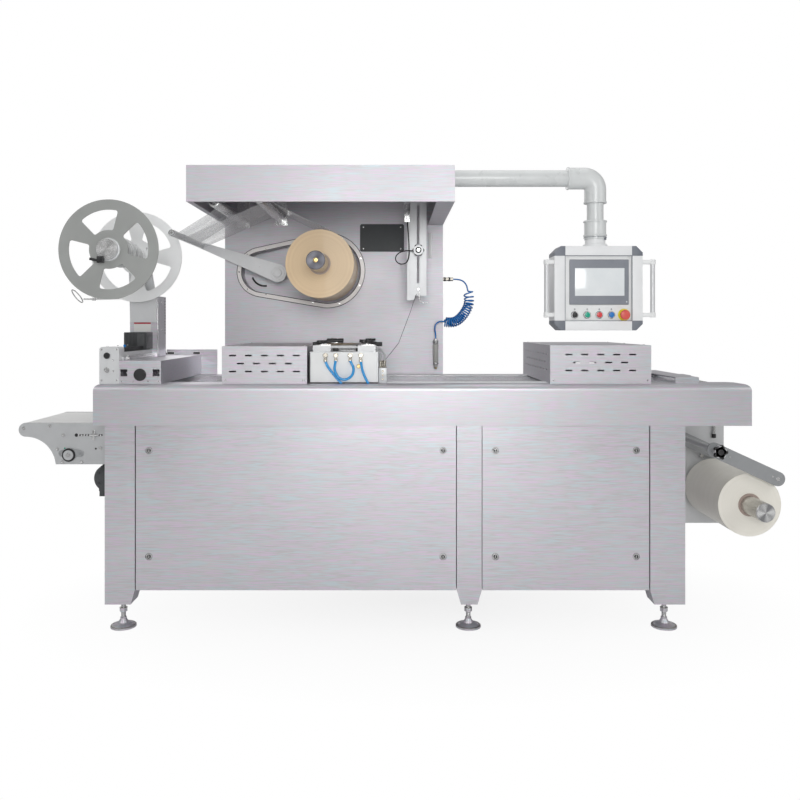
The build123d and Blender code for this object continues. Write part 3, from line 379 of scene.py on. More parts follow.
# Each finish: its material's name, its light and dark colours, and what else its maker takes
FINISHES = {
    bead_blasted: {
        "rim": ("rim_plate", (0.8, 0.77, 0.76), (0.72, 0.69, 0.68)),
        "galvanised": ("galvanised_plate", (0.6, 0.61, 0.62), (0.52, 0.53, 0.54), 0.4, 0.3),
        "arm_grey": ("arm_plate", (0.4, 0.41, 0.42), (0.33, 0.34, 0.35), 0.42, 0.3),
    },
    turned_metal: {
        "chrome": ("turned_steel", (0.8, 0.8, 0.8), (0.58, 0.58, 0.58)),
        "shaft": ("shaft_steel", (0.62, 0.61, 0.58), (0.4, 0.39, 0.37), 0.3),
        "brass": ("brass", (0.72, 0.55, 0.28), (0.5, 0.36, 0.16), 0.28),
        "nickel": ("nickel_fitting", (0.7, 0.66, 0.58), (0.42, 0.39, 0.34), 0.25),
    },
    # Turned faces get painted highlights: wedges of reflected light in their colour
    turned_face: {
        "tan_face": ("roll_shaft_face", (0.2, 0.2, 0.23), (0.12, 0.12, 0.14), LIDDING_X, LIDDING_Z, 0.4, 0.4),
        "base_face": ("base_shaft_face", (0.85, 0.85, 0.85), (0.3, 0.3, 0.31), BASE_X, BASE_Z),
        "hub_face": ("hub_face", (0.8, 0.8, 0.8), (0.5, 0.5, 0.5), WASTE_X, WASTE_Z),
    },
    wound_film: {
        "tan": ("tan_film_roll", (0.8, 0.6, 0.37), (0.74, 0.54, 0.32), LIDDING_X, LIDDING_Z),
        "ivory": ("ivory_film_roll", (0.97, 0.94, 0.86), (0.93, 0.9, 0.81), BASE_X, BASE_Z),
    },
    clear_film: {"film": ("clear_film", (0.95, 0.96, 0.97), (0.8, 0.82, 0.85), 0.32)},
    streaked_film: {"trim": ("film_trim", (0.86, 0.87, 0.87), (0.66, 0.68, 0.68), 0.7)},
    woven_belt: {"belt": ("white_belt", (0.97, 0.97, 0.96), (0.91, 0.91, 0.9))},
    reel_plate: {"reel": ("reel_plate", (0.37, 0.38, 0.37), (0.96, 0.97, 0.97), 0.3)},
    moulded_plastic: {
        "stop_red": ("stop_red", (0.76, 0.12, 0.1), (0.66, 0.09, 0.075), 0.38),
        "smoke": ("smoke_body", (0.5, 0.5, 0.48), (0.42, 0.42, 0.4), 0.2, 0.5),
        "black": ("black_moulding", (0.03, 0.03, 0.032), (0.012, 0.012, 0.013), 0.38),
        "casting": ("dark_casting", (0.09, 0.095, 0.1), (0.045, 0.048, 0.05), 0.5),
        "blue": ("blue_hose", (0.004, 0.2, 0.6), (0.003, 0.15, 0.5), 0.22, 0.4),
        "sky": ("sky_hose", (0.025, 0.34, 0.74), (0.018, 0.27, 0.62), 0.22, 0.4),
        "tube": ("grey_tube", (0.72, 0.74, 0.74), (0.66, 0.68, 0.68), 0.3, 0.35),
        "panel": ("panel_box", (0.84, 0.85, 0.86), (0.79, 0.8, 0.81), 0.42),
        "name_dark": ("dark_plate", (0.065, 0.072, 0.078), (0.05, 0.056, 0.06), 0.5),
        "core": ("card_core", (0.5, 0.4, 0.35), (0.4, 0.31, 0.27), 0.6),
        "label": ("plain_label", (0.82, 0.82, 0.8), (0.76, 0.76, 0.74)),
        "label_band": ("label_band", (0.62, 0.04, 0.07), (0.54, 0.03, 0.05)),
        "panel_white": ("panel_face", (0.86, 0.87, 0.87), (0.81, 0.82, 0.82)),
        "corner_grey": ("corner_grey", (0.2, 0.215, 0.25), (0.16, 0.175, 0.205), 0.42),
        "bezel": ("bezel_grey", (0.25, 0.265, 0.3), (0.21, 0.225, 0.255), 0.42),
        "screen": ("screen_glass", (0.84, 0.87, 0.88), (0.77, 0.81, 0.83), 0.12, 0.6),
        "green": ("button_green", (0.01, 0.42, 0.28), (0.008, 0.34, 0.22), 0.3, 0.3),
        "red": ("button_red", (0.74, 0.06, 0.07), (0.62, 0.045, 0.05), 0.3, 0.3),
        "button_blue": ("button_blue", (0.01, 0.2, 0.6), (0.008, 0.15, 0.5), 0.3, 0.3),
        "yellow": ("stop_yellow", (0.8, 0.72, 0.03), (0.72, 0.64, 0.02)),
        "clear_block": ("pale_block", (0.74, 0.76, 0.77), (0.64, 0.66, 0.68), 0.22, 0.5),
        "grey_line": ("grey_line", (0.42, 0.43, 0.44), (0.36, 0.37, 0.38), 0.35),
    },
}
finishes = {}


def make_finishes(settings):
    """Every finish of the machine, by name."""
    steel = tuple(settings.steel_colour)
    plate = tuple(settings.plate_colour)
    # painted shade: the hood, cabinet, door and two covers catch more of the front lamp's reflection, so they
    # get a darker copy of the sheet's steel
    shade = scaled(steel, 0.86)
    finishes["sheet"] = brushed_steel("brushed_sheet", steel, scaled(steel, 0.8))
    finishes["painted_shade_sheet"] = brushed_steel("brushed_sheet_painted_shade", shade, scaled(shade, 0.84), 0.48, 0.72)
    finishes["beam"] = brushed_steel("brushed_beam", scaled(steel, 0.92), scaled(steel, 0.8), 0.42, 0.8)
    finishes["plate"] = bead_blasted("anodised_plate", plate, scaled(plate, 0.88))
    for maker, recipes in FINISHES.items():
        for name, recipe in recipes.items():
            finishes[name] = maker(*recipe)


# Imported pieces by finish
NODE_FINISHES = {
    "beam": ["front_beam", "rear_beam"],
    "sheet": [
        "legs", "levelling_feet", "side_panels", "end_panels", "bottom_tray", "deck", "infeed_cover",
        "cutter_housing", "reel_column",
    ],
    "galvanised": ["conveyor_frame"],
    # darker copy of the sheet's steel: painted shade against the front lamp's reflection
    "painted_shade_sheet": ["hood", "cabinet", "cabinet_door", "seal_cover", "heater_cover"],
    "rim": ["pocket_rim"],
    "arm_grey": ["base_arm"],
    "smoke": ["air_gun"],
    "plate": [
        "chain_guards", "film_arm", "lidding_bearing", "forming_unit", "cutter_axis", "reel_bearing",
        "hmi_handles", "sensor_bracket", "carrier_plate",
    ],
    "film": ["base_film_web", "lidding_film"],
    "chrome": ["infeed_roller", "guide_rollers"],
    "shaft": ["lidding_shaft", "base_shaft"],
    "name_dark": ["nameplate", "hmi_screen"],
    "tan": ["lidding_roll"],
    "ivory": ["base_roll"],
    "nickel": ["forming_fittings", "air_fittings"],
    "sky": ["forming_hoses"],
    "blue": ["air_hose_lead", "air_hose_coil", "air_hose_tail"],
    "reel": ["waste_reel"],
    "casting": ["reel_motor", "conveyor_motor"],
    "belt": ["conveyor_belt"],
    "tube": ["hmi_arm"],
    "panel": ["hmi_box"],
    "black": ["hmi_controls"],
}


def disc(radius, low, high):
    """Profile of a plain disc for lathe work."""
    return [(low, 0), (low, radius), (high, radius), (high, 0)]


def cap(radius, low, shoulder, high, rim):
    """Profile of a disc that narrows from its shoulder to its rim."""
    return [(low, 0), (low, radius), (shoulder, radius), (high, rim), (high, 0)]


def arc(x, z, radius, start, end, steps):
    """Points of an arc, from one angle in degrees to another."""
    points = []
    for step in range(steps + 1):
        angle = math.radians(start + (end - start) * step / steps)
        points.append((x + radius * math.cos(angle), z + radius * math.sin(angle)))
    return points


class Shape:
    """Mesh of one piece, made of sawn, turned and drawn forms, in millimetres."""

    def __init__(self):
        self.mesh = bmesh.new()

    def bevelled(self, edges, offset, segments=2):
        bmesh.ops.bevel(
            self.mesh, geom=list(edges), offset=offset, segments=segments, affect="EDGES", profile=0.6
        )

    def block(self, low, high, bevel=0.0, segments=2):
        size = [b - a for a, b in zip(low, high)]
        middle = [(a + b) / 2 for a, b in zip(low, high)]
        matrix = Matrix.Translation(middle) @ Matrix.Diagonal((*size, 1))
        made = bmesh.ops.create_cube(self.mesh, size=1.0, matrix=matrix)["verts"]
        if bevel:
            self.bevelled({edge for vert in made for edge in vert.link_edges}, bevel, segments)
        return self

    def ring(self, centre, side, other, radius, segments):
        """Points of the mesh round a centre."""
        made = []
        for index in range(segments):
            angle = 2 * math.pi * index / segments
            offset = side * math.cos(angle) + other * math.sin(angle)
            made.append(self.mesh.verts.new(centre + offset * radius))
        return made

    def skin(self, rings):
        """Faces between one ring and the next, of which any may be a single point."""
        for first, second in zip(rings, rings[1:]):
            count = max(len(first), len(second))
            for index in range(count):
                after = (index + 1) % count
                corners = [first[index % len(first)], first[after % len(first)]]
                corners += [second[after % len(second)], second[index % len(second)]]
                unique = list(dict.fromkeys(corners))
                if len(unique) > 2:
                    self.mesh.faces.new(unique)

    def turned(self, centre, axis, profile, segments=32):
        """Lathe work: profile is a list of (distance along the axis, radius)."""
        axis = Vector(axis).normalized()
        side = axis.orthogonal().normalized()
        other = axis.cross(side)
        rings = []
        for along, radius in profile:
            base = Vector(centre) + axis * along
            if radius:
                rings.append(self.ring(base, side, other, radius, segments))
            else:
                rings.append([self.mesh.verts.new(base)])
        self.skin(rings)
        for ring in (rings[0], rings[-1]):
            if len(ring) > 1:
                self.mesh.faces.new(ring)
        return self

    def prism(self, outline, origin, across, up, depth, bevel=0.0):
        """Outline in a plane, pushed through by a depth along its normal."""
        across = Vector(across)
        up = Vector(up)
        push = across.cross(up).normalized() * depth
        origin = Vector(origin)
        front = [self.mesh.verts.new(origin + across * a + up * b) for a, b in outline]
        back = [self.mesh.verts.new(vert.co + push) for vert in front]
        faces = [self.mesh.faces.new(front), self.mesh.faces.new(list(reversed(back)))]
        for index in range(len(front)):
            after = (index + 1) % len(front)
            self.mesh.faces.new([front[index], back[index], back[after], front[after]])
        if bevel:
            self.bevelled({edge for face in faces for edge in face.edges}, bevel)
        return self

    def pipe(self, points, radius, segments=14):
        """Round bar or hose along a line of points."""
        line = [Vector(point) for point in points]
        side = (line[1] - line[0]).normalized().orthogonal().normalized()
        rings = []
        for index, point in enumerate(line):
            before = line[max(index - 1, 0)]
            after = line[min(index + 1, len(line) - 1)]
            heading = (after - before).normalized()
            side = (side - heading * side.dot(heading)).normalized()
            rings.append(self.ring(point, side, heading.cross(side), radius, segments))
        self.skin(rings)
        self.mesh.faces.new(list(reversed(rings[0])))
        self.mesh.faces.new(rings[-1])
        return self

    def bolt(self, centre, axis, radius=4.0, height=3.0):
        """Socket-head screw with its recess."""
        profile = [(-0.5, 0), (-0.5, radius), (height - 0.6, radius), (height, radius - 0.6)]
        profile += [(height, radius * 0.5), (height * 0.4, radius * 0.5), (height * 0.4, 0)]
        return self.turned(centre, axis, profile, 16)

    def bolt_circle(self, x, y, z, reach, angles, radius, height):
        """Screws on a circle in front of a face, at angles in degrees."""
        for angle in angles:
            across = reach * math.cos(math.radians(angle))
            up = reach * math.sin(math.radians(angle))
            self.bolt((x + across, y, z + up), FRONT, radius, height)

    def hexagon(self, centre, axis, across, height):
        """Hexagon nut or bolt head with a chamfered top."""
        radius = across / math.sqrt(3)
        return self.turned(centre, axis, cap(radius, 0, height * 0.8, height, radius * 0.86), 6)

    def strips(self, x, y, z, angles, half_width, height, length):
        """Gripping strips let into a shaft, at angles in degrees, that run to the rear."""
        outline = [(-half_width, 0), (half_width, 0), (half_width - 1, height), (1 - half_width, height)]
        for angle in map(math.radians, angles):
            side = Vector((-math.sin(angle), 0, math.cos(angle)))
            out = Vector((math.cos(angle), 0, math.sin(angle)))
            self.prism(outline, Vector((x, y, z)) + out * STRIP_DEPTH, side, out, length)

    def piece(self, name, finish, body=FRAME_BODY):
        """Finishes the mesh as an object that rides on a body."""
        bmesh.ops.recalc_face_normals(self.mesh, faces=self.mesh.faces)
        bmesh.ops.scale(self.mesh, vec=(MM, MM, MM), verts=self.mesh.verts)
        for face in self.mesh.faces:
            face.smooth = True
        for edge in self.mesh.edges:
            if len(edge.link_faces) == 2 and edge.calc_face_angle(0.0) > SHARP_ANGLE:
                edge.smooth = False
        data = bpy.data.meshes.new(name)
        self.mesh.to_mesh(data)
        self.mesh.free()
        data.materials.append(finishes[finish])
        made = bpy.data.objects.new(name, data)
        bpy.context.scene.collection.objects.link(made)
        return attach(made, body)


def linked(name, data):
    """Object of the scene that shows some data."""
    made = bpy.data.objects.new(name, data)
    bpy.context.scene.collection.objects.link(made)
    return made


def nurbs_line(name, points, radius=0.0):
    """Smooth line through the neighbourhood of its control points."""
    data = bpy.data.curves.new(name, "CURVE")
    data.dimensions = "3D"
    data.resolution_u = 12
    data.bevel_depth = radius
    data.bevel_resolution = 3
    data.use_fill_caps = True
    spline = data.splines.new("NURBS")
    spline.points.add(len(points) - 1)
    for target, point in zip(spline.points, points):
        target.co = (*point, 1.0)
    spline.order_u = 3
    spline.use_endpoint_u = True
    return linked(name, data)


def points_along(points):
    """Points read from the smooth line of a route."""
    guide = nurbs_line("route_guide", points)
    bpy.context.view_layer.update()
    read = bpy.data.meshes.new_from_object(guide)
    line = [vert.co.copy() for vert in read.vertices]
    bpy.data.meshes.remove(read)
    curve = guide.data
    bpy.data.objects.remove(guide)
    bpy.data.curves.remove(curve)
    return line


# Route of the air hose, in metres
COIL_ROUTE = [
    (0.244, 0.735, 1.345), (0.254, 0.728, 1.296), (0.236, 0.713, 1.248),
    (0.203, 0.692, 1.208), (0.166, 0.672, 1.188), (0.126, 0.672, 1.195),
]
LEAD_ROUTE = [(0.174, 0.735, 1.398), (0.212, 0.735, 1.398), (0.238, 0.7392, 1.3744), (0.244, 0.735, 1.345)]
TAIL_ROUTE = [
    (0.126, 0.672, 1.195), (0.111, 0.672, 1.197625), (0.096, 0.672, 1.192), (0.086, 0.672, 1.180),
    (0.083, 0.672, 1.162), (0.088, 0.672, 1.134), (0.088, 0.672, 1.108),
]
COIL_RADIUS = 0.0215
# Share of a turn in which the coil opens and closes, and how much closer its turns lie at the lower end
COIL_RUN_IN = 0.6
COIL_CROWDING = 1.4


def helix_round(route, radius, turns, per_turn=14):
    """Points of a spiral round the smooth line of a route."""
    line = points_along(route)
    lengths = [0.0]
    for first, second in zip(line, line[1:]):
        lengths.append(lengths[-1] + (second - first).length)
    heading = (line[1] - line[0]).normalized()
    side = Vector((0, 1, 0)) - heading * heading.y
    side.normalize()
    points = []
    count = int(turns * per_turn)
    run_in = per_turn * COIL_RUN_IN
    segment = 0
    for index in range(count + 1):
        share = index / count
        along = share * lengths[-1]
        while segment < len(line) - 2 and lengths[segment + 1] < along:
            segment += 1
        step = lengths[segment + 1] - lengths[segment]
        centre = line[segment].lerp(line[segment + 1], (along - lengths[segment]) / step)
        heading = (line[segment + 1] - line[segment]).normalized()
        side = (side - heading * side.dot(heading)).normalized()
        other = heading.cross(side)
        angle = 2 * math.pi * turns * share**COIL_CROWDING
        grown = radius * min(1.0, index / run_in, (count - index) / run_in)
        points.append(centre + (side * math.cos(angle) + other * math.sin(angle)) * grown)
    return points


class MachineSettings(bpy.types.PropertyGroup):
    """Sizes and colours that a user may change."""

    steel_colour: bpy.props.FloatVectorProperty(
        name="Steel colour", description="Colour of the brushed sheet", subtype="COLOR", size=3,
        min=0.0, max=1.0, default=(0.72, 0.705, 0.725),
    )
    plate_colour: bpy.props.FloatVectorProperty(
        name="Plate colour", description="Colour of the anodised plates", subtype="COLOR", size=3,
        min=0.0, max=1.0, default=(0.72, 0.73, 0.74),
    )
    hose_diameter: bpy.props.FloatProperty(
        name="Hose diameter", description="Outer diameter of the spiral air hose", subtype="DISTANCE",
        unit="LENGTH", min=0.004, max=0.012, default=0.007,
    )
    coil_turns: bpy.props.FloatProperty(
        name="Spiral turns", description="Turns of the spiral air hose", min=10.0, max=40.0, default=20.0
    )
    lamp_strength: bpy.props.FloatProperty(
        name="Lamp strength", description="Power of the main softbox", min=0.0, max=1000.0, default=66.0
    )


# Each lamp: its place, what it is aimed at, its size, and its power as a share of the main one
LAMPS = {
    "front_softbox": ((0.1, -4.4, 1.85), (0, 0, 0.45), 1.8, 1.0),
    "left_softbox": ((-3.4, -2.6, 3.0), (0, 0.2, 0.9), 2.0, 0.3),
    "right_softbox": ((3.6, -2.2, 2.6), (0, 0.2, 0.9), 2.0, 0.3),
    "top_softbox": ((0, 0.6, 4.2), (0, 0.3, 0.8), 3.2, 0.5),
    "rear_softbox": ((-1.5, 4.5, 3.0), (0, 0.4, 0.9), 3.0, 0.5),
}
FLOOR_HALF = 14


def add_camera(scene):
    """Camera level with the middle of the machine, shifted like the photograph's."""
    data = bpy.data.cameras.new("camera")
    data.sensor_width = 36.0
    data.lens = 36.2
    data.shift_x = 0.0104
    data.shift_y = -0.0925
    data.clip_end = 60.0
    camera = linked("camera", data)
    camera.location = (-0.1185, -3.1, 1.175)
    camera.rotation_euler = (math.pi / 2, 0, 0)
    scene.camera = camera


def floor_surface():
    """Pale floor that takes soft shadows near the machine and fades to white."""
    surface = Surface("pale_floor")
    speckle = surface.noise(60, 3.0, 0.6)
    surface.set(Base_Color=surface.tint(speckle, (0.84, 0.84, 0.84), (0.87, 0.87, 0.87)), Roughness=0.7)
    seen = surface.node("ShaderNodeLightPath", output="Is Camera Ray")
    through = surface.node("ShaderNodeLightPath", output="Is Transmission Ray")
    across = surface.part("X")
    deep = surface.part("Y") - 0.35
    away = ((across * across) * 0.35 + deep * deep) ** 0.5
    fade = surface.spread(away, 0.0, 1.0, 0.82, 1.0)
    glow = surface.node("ShaderNodeEmission", {}, {"Color": WHITE, "Strength": 1.0})
    lit = Value(surface, surface.shader.outputs[0])
    surface.show("Material Output", surface.mixed((seen + through).above(0.5) * fade, lit, glow))
    return surface.material


def add_floor():
    """Large floor under the feet."""
    mesh = bpy.data.meshes.new("floor")
    corners = [(-1, -1), (1, -1), (1, 1), (-1, 1)]
    mesh.from_pydata([(x * FLOOR_HALF, y * FLOOR_HALF, 0) for x, y in corners], [], [(0, 1, 2, 3)])
    mesh.materials.append(floor_surface())
    floor = linked("floor", mesh)
    floor.location = (0, 0, -0.0005)


def add_world(scene):
    """White background that lights the machine more softly than it looks."""
    world = bpy.data.worlds.new("studio")
    world.use_nodes = True
    scene.world = world
    studio = Nodes(world.node_tree)
    seen = studio.node("ShaderNodeLightPath", output="Is Camera Ray")
    lighting, backdrop = (
        studio.node("ShaderNodeBackground", {}, {"Color": WHITE, "Strength": strength})
        for strength in (0.36, 1.0)
    )
    studio.show("World Output", studio.mixed(seen, lighting, backdrop))


def add_lamps(strength):
    """Soft square lamps round the machine."""
    for name, (place, aim, size, share) in LAMPS.items():
        data = bpy.data.lights.new(name, "AREA")
        data.shape = "SQUARE"
        data.size = size
        data.energy = strength * share
        lamp = linked(name, data)
        lamp.location = place
        lamp.rotation_euler = (Vector(aim) - Vector(place)).to_track_quat("-Z", "Y").to_euler()


class PACKAGING_OT_stage(bpy.types.Operator):
    """Sets the camera, the pale floor and the soft studio light"""

    bl_idname = "packaging.stage"
    bl_label = "Stage and camera"

    def execute(self, context):
        scene = context.scene
        add_camera(scene)
        add_floor()
        add_world(scene)
        add_lamps(scene.packaging_machine.lamp_strength)
        scene.view_settings.view_transform = "Standard"
        return {"FINISHED"}


class PACKAGING_OT_finishes(bpy.types.Operator):
    """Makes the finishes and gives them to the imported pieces"""

    bl_idname = "packaging.finishes"
    bl_label = "Finishes"

    def execute(self, context):
        make_finishes(context.scene.packaging_machine)
        for finish, nodes in NODE_FINISHES.items():
            for node in nodes:
                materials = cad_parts[node].data.materials
                materials.clear()
                materials.append(finishes[finish])
        return {"FINISHED"}


class PACKAGING_OT_air_hose(bpy.types.Operator):
    """Spiral air hose with its gun"""

    bl_idname = "packaging.air_hose"
    bl_label = "Spiral air hose"

    def execute(self, context):
        settings = context.scene.packaging_machine
        spiral = helix_round(COIL_ROUTE, COIL_RADIUS, settings.coil_turns)
        points = LEAD_ROUTE[:-1] + [tuple(point) for point in spiral] + TAIL_ROUTE[1:]
        hose = nurbs_line("spiral_air_hose", points, settings.hose_diameter / 2)
        hose.data.resolution_u = 4
        hose.data.materials.append(finishes["blue"])
        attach(hose, FRAME_BODY)
        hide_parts("air_hose_lead", "air_hose_coil", "air_hose_tail")

        rings = Shape()
        profile = [(-8, 0), (-8, 7), (-2, 7), (0, 13), (14, 13), (16, 12.6), (16, 0)]
        rings.turned((GUN_X, 672, 1108), DOWN, profile, 28)
        rings.turned((GUN_X, 672, 1000), DOWN, cap(13, -4, 4, 5, 12), 28)
        rings = rings.piece("air_gun_collars", "chrome")
        tip = Shape()
        tip.turned((GUN_X, 672, 986), DOWN, [(-2, 0), (-2, 8), (6, 7), (11, 4), (13, 4), (13, 0)], 24)
        tip = tip.piece("air_gun_tip", "brass")
        bands = Shape()
        for x in (134, 156):
            bands.turned((x, 735, 1398), RIGHT, disc(9.8, -4, 4), 24)
        bands.piece("air_coupling_bands", "black")

        line = points_along(points)
        return {"FINISHED"}


def star(lobes, outer, inner):
    """Outline of a star grip with rounded lobes."""
    outline = []
    for index in range(lobes * 8):
        angle = 2 * math.pi * index / (lobes * 8)
        swell = (0.5 + 0.5 * math.cos(angle * lobes)) ** 0.7
        radius = inner + (outer - inner) * swell
        outline.append((radius * math.cos(angle), radius * math.sin(angle)))
    return outline


def ring_points(centre, axis, radius, count=40):
    """Points round a circle in space."""
    axis = Vector(axis).normalized()
    side = axis.orthogonal().normalized()
    other = axis.cross(side)
    points = []
    for index in range(count + 1):
        angle = math.radians(360.0 * index / count)
        points.append(Vector(centre) + (side * math.cos(angle) + other * math.sin(angle)) * radius)
    return points


LOCK_X = (-1057, 80, 282, 826.5)
LOCK_Z = (694, 284)
LOCK_RING = [(0, 0), (0, 12.6), (4.6, 12.6), (6.2, 11.2), (6.2, 8.6), (4.4, 7.8), (2.2, 7.4), (2.2, 0)]
FOOT_X = (-1168, 181, 947)
FOOT_Y = (49, 651)
THREAD_PITCH = 2.2


class PACKAGING_OT_frame_details(bpy.types.Operator):
    """Quarter-turn locks of the panels, threads of the feet and screws of the table"""

    bl_idname = "packaging.frame_details"
    bl_label = "Locks, feet and screws"

    def execute(self, context):
        rings = Shape()
        inserts = Shape()
        for x in LOCK_X:
            for z in LOCK_Z:
                for y, axis, sign in ((14, FRONT, -1), (686, REAR, 1)):
                    rings.turned((x, y, z), axis, LOCK_RING, 28)
                    inserts.turned((x, y + sign * 1.8, z), axis, cap(6.4, 0, 1.8, 2.6, 5.4), 20)
                    near, far = sorted((sign * 3.6, sign * 5.4))
                    rings.block((x - 1.6, y + near, z - 5), (x + 1.6, y + far, z + 5), 0.4)
        rings.piece("panel_lock_rings", "chrome")
        inserts.piece("panel_lock_inserts", "black")

        threads = Shape()
        washers = Shape()
        for x in FOOT_X:
            for y in FOOT_Y:
                for low, high in ((33, 59), (75, 99)):
                    profile = [(low, 0), (low, 8)]
                    turn = low
                    while turn < high - 2:
                        profile += [(turn + 0.6, 8.9), (turn + 1.4, 8.9), (turn + 2.0, 8.1)]
                        turn += THREAD_PITCH
                    profile += [(high, 8), (high, 0)]
                    threads.turned((x, y, 0), UP, profile, 20)
                washers.turned((x, y, 74), UP, cap(15, 0, 1.6, 2.2, 14.2), 24)
                foot_rim = [(4.8, 40), (4.8, 47.8), (7.2, 47.8), (8.2, 45), (8.2, 40)]
                washers.turned((x, y, 0.6), UP, foot_rim, 40)
        threads.piece("foot_threads", "chrome")
        washers.piece("foot_washers", "shaft")

        screws = Shape()
        for x in (1146, 1162):
            screws.bolt((x, 60, 790), DOWN, 5, 4)
        for x in (-1258, 1258):
            for y in (40, 100, 600, 660):
                screws.bolt((x, y, 870), (math.copysign(1, x), 0, 0), 5, 3)
        for left, right, top in ((-779, -448, 1096), (498, 891, 1100)):
            for x in (left + 14, right - 14):
                screws.bolt((x, 28, 964), FRONT, 4, 2.4)
                screws.bolt((x, 672, 964), REAR, 4, 2.4)
                for y in (80, 350, 620):
                    screws.bolt((x, y, top), UP, 4.5, 2.2)
        screws.piece("cover_screws", "chrome")

        hinges = Shape()
        for z in (620, 1130, 1640):
            hinges.turned((-880, 964, z), UP, disc(7, -32, 32), 18)
            hinges.block((-880, 957.5, z - 26), (-846, 961.5, z + 26), 1)
        for z in (760, 1500):
            lock = [(0, 0), (0, 15), (4, 15), (5.5, 13), (5.5, 8), (3, 7.4), (3, 0)]
            hinges.turned((84, 960, z), REAR, lock, 26)
            hinges.block((82.4, 962, z - 5), (85.6, 966.5, z + 5), 0.4)
        hinges.piece("door_hinges", "chrome")
        return {"FINISHED"}


# Radii of the recess in the cabinet, round the roll and round the arm's end
RECESS_LARGE = 155
RECESS_SMALL = 96
RIVET = [(-0.5, 0), (-0.5, 4), (1, 3.6), (1.6, 2), (1.6, 0)]


class PACKAGING_OT_film_station(bpy.types.Operator):
    """Rim screws, shaft noses, bearings and arm bosses round the lidding film"""

    bl_idname = "packaging.film_station"
    bl_label = "Lidding film station"

    def execute(self, context):
        rim = Shape()
        rim.bolt_circle(LIDDING_X, CABINET_FACE, LIDDING_Z, 166, (20, 65, 110, 200, 245, 290, 335), 4, 2)
        rim.bolt_circle(POCKET_X, CABINET_FACE, POCKET_Z, 107, (80, 130, 180, 230, 280), 4, 2)
        rim.piece("pocket_rim_screws", "chrome")

        seam = Shape()
        apart = (POCKET_X - LIDDING_X, POCKET_Z - LIDDING_Z)
        opening = math.degrees(math.acos((RECESS_LARGE - RECESS_SMALL) / math.hypot(*apart)))
        lean = math.degrees(math.atan2(apart[1], apart[0]))
        for grown in (0.5, 21.5):
            start, end = lean + opening - 360, lean - opening
            outline = arc(LIDDING_X, LIDDING_Z, RECESS_LARGE + grown, start, end, 40)
            outline += arc(POCKET_X, POCKET_Z, RECESS_SMALL + grown, end, lean + opening, 40)
            seam.pipe([(x, CABINET_FACE, z) for x, z in (*outline, outline[0])], 1.5, 8)
        seam.piece("pocket_rim_seams", "casting")

        # black bar along the curved slot inside the pocket: painted shade in the opening
        slot = Shape()
        slot.pipe([(x, 778.6, z) for x, z in arc(POCKET_X, POCKET_Z, 62, 200, 280, 10)], 4.5, 10)
        slot.piece("pocket_arc_slot_shade", "black")

        nose = Shape()
        profile = [(-6, 0), (-6, 38.2), (-1, 38.2), (1.6, 35.6), (1.6, 31), (0.6, 30), (0.6, 8)]
        profile += [(0, 7), (0, 0)]
        nose.turned((LIDDING_X, 95, LIDDING_Z), FRONT, profile, 56)
        nose.piece("lidding_shaft_nose", "tan_face", "lidding_reel")
        valve = Shape()
        profile = [(0, 0), (0, 10), (2.4, 10), (3, 8.6), (3, 5), (7, 4.6), (7, 2.2), (4, 2), (4, 0)]
        valve.turned((LIDDING_X, 95, LIDDING_Z), FRONT, profile, 24)
        valve.piece("lidding_shaft_valve", "brass", "lidding_reel")
        strips = Shape()
        strips.strips(LIDDING_X, 120, LIDDING_Z, (45, 135, 225, 315), 4, 2.4, 150)
        strips.piece("lidding_shaft_strips", "shaft", "lidding_reel")
        core = Shape()
        profile = [(-6, 38.4), (-6, 46), (0.8, 46), (1.4, 45), (1.4, 38.4)]
        core.turned((LIDDING_X, 278, LIDDING_Z), FRONT, profile, 56)
        core.piece("lidding_core", "core", "lidding_reel")

        collar = Shape()
        profile = [(-4, 0), (-4, 62), (2, 62), (5, 58), (5, 30), (8, 28), (8, 0)]
        collar.turned((LIDDING_X, 744, LIDDING_Z), FRONT, profile, 48)
        collar.bolt_circle(LIDDING_X, 739, LIDDING_Z, 50, range(30, 390, 60), 4, 3)
        collar.piece("bearing_flange", "chrome")

        boss = Shape()
        profile = [(0, 0), (0, 34), (2, 34), (3, 33), (3, 27), (1.6, 26), (1.6, 21), (4, 20), (6, 19)]
        profile += [(6, 12), (4.4, 11), (4.4, 0)]
        boss.turned((-655, 676, 1424), FRONT, profile, 48)
        for x, z in ((-655, 1448), (-634, 1412), (-676, 1412), (-740, 1452), (-820, 1481), (-930, 1522)):
            boss.bolt((x, 676, z), FRONT, 4, 3)
        boss.piece("film_arm_boss", "plate")
        rollers = Shape()
        profile = [(-3, 0), (-3, 13.6), (0.6, 13.6), (1.6, 12.6), (1.6, 9), (0, 8.4), (0, 5)]
        profile += [(2.6, 4.6), (2.6, 0)]
        rollers.turned((-1010, 160, 1553), FRONT, profile, 36)
        grown = [(along, radius * 1.55) for along, radius in profile]
        for x, z in ((-639, 1678), (-817, 1664)):
            rollers.turned((x, 60, z), FRONT, grown, 40)
            rollers.hexagon((x, 56, z), FRONT, 13, 6)
        rollers.piece("roller_ends", "chrome")
        plate = Shape()
        for x in (-252, -76):
            for z in (1540, 1642):
                plate.turned((x, CABINET_FACE, z), FRONT, RIVET, 16)
        plate.piece("nameplate_rivets", "chrome")
        return {"FINISHED"}


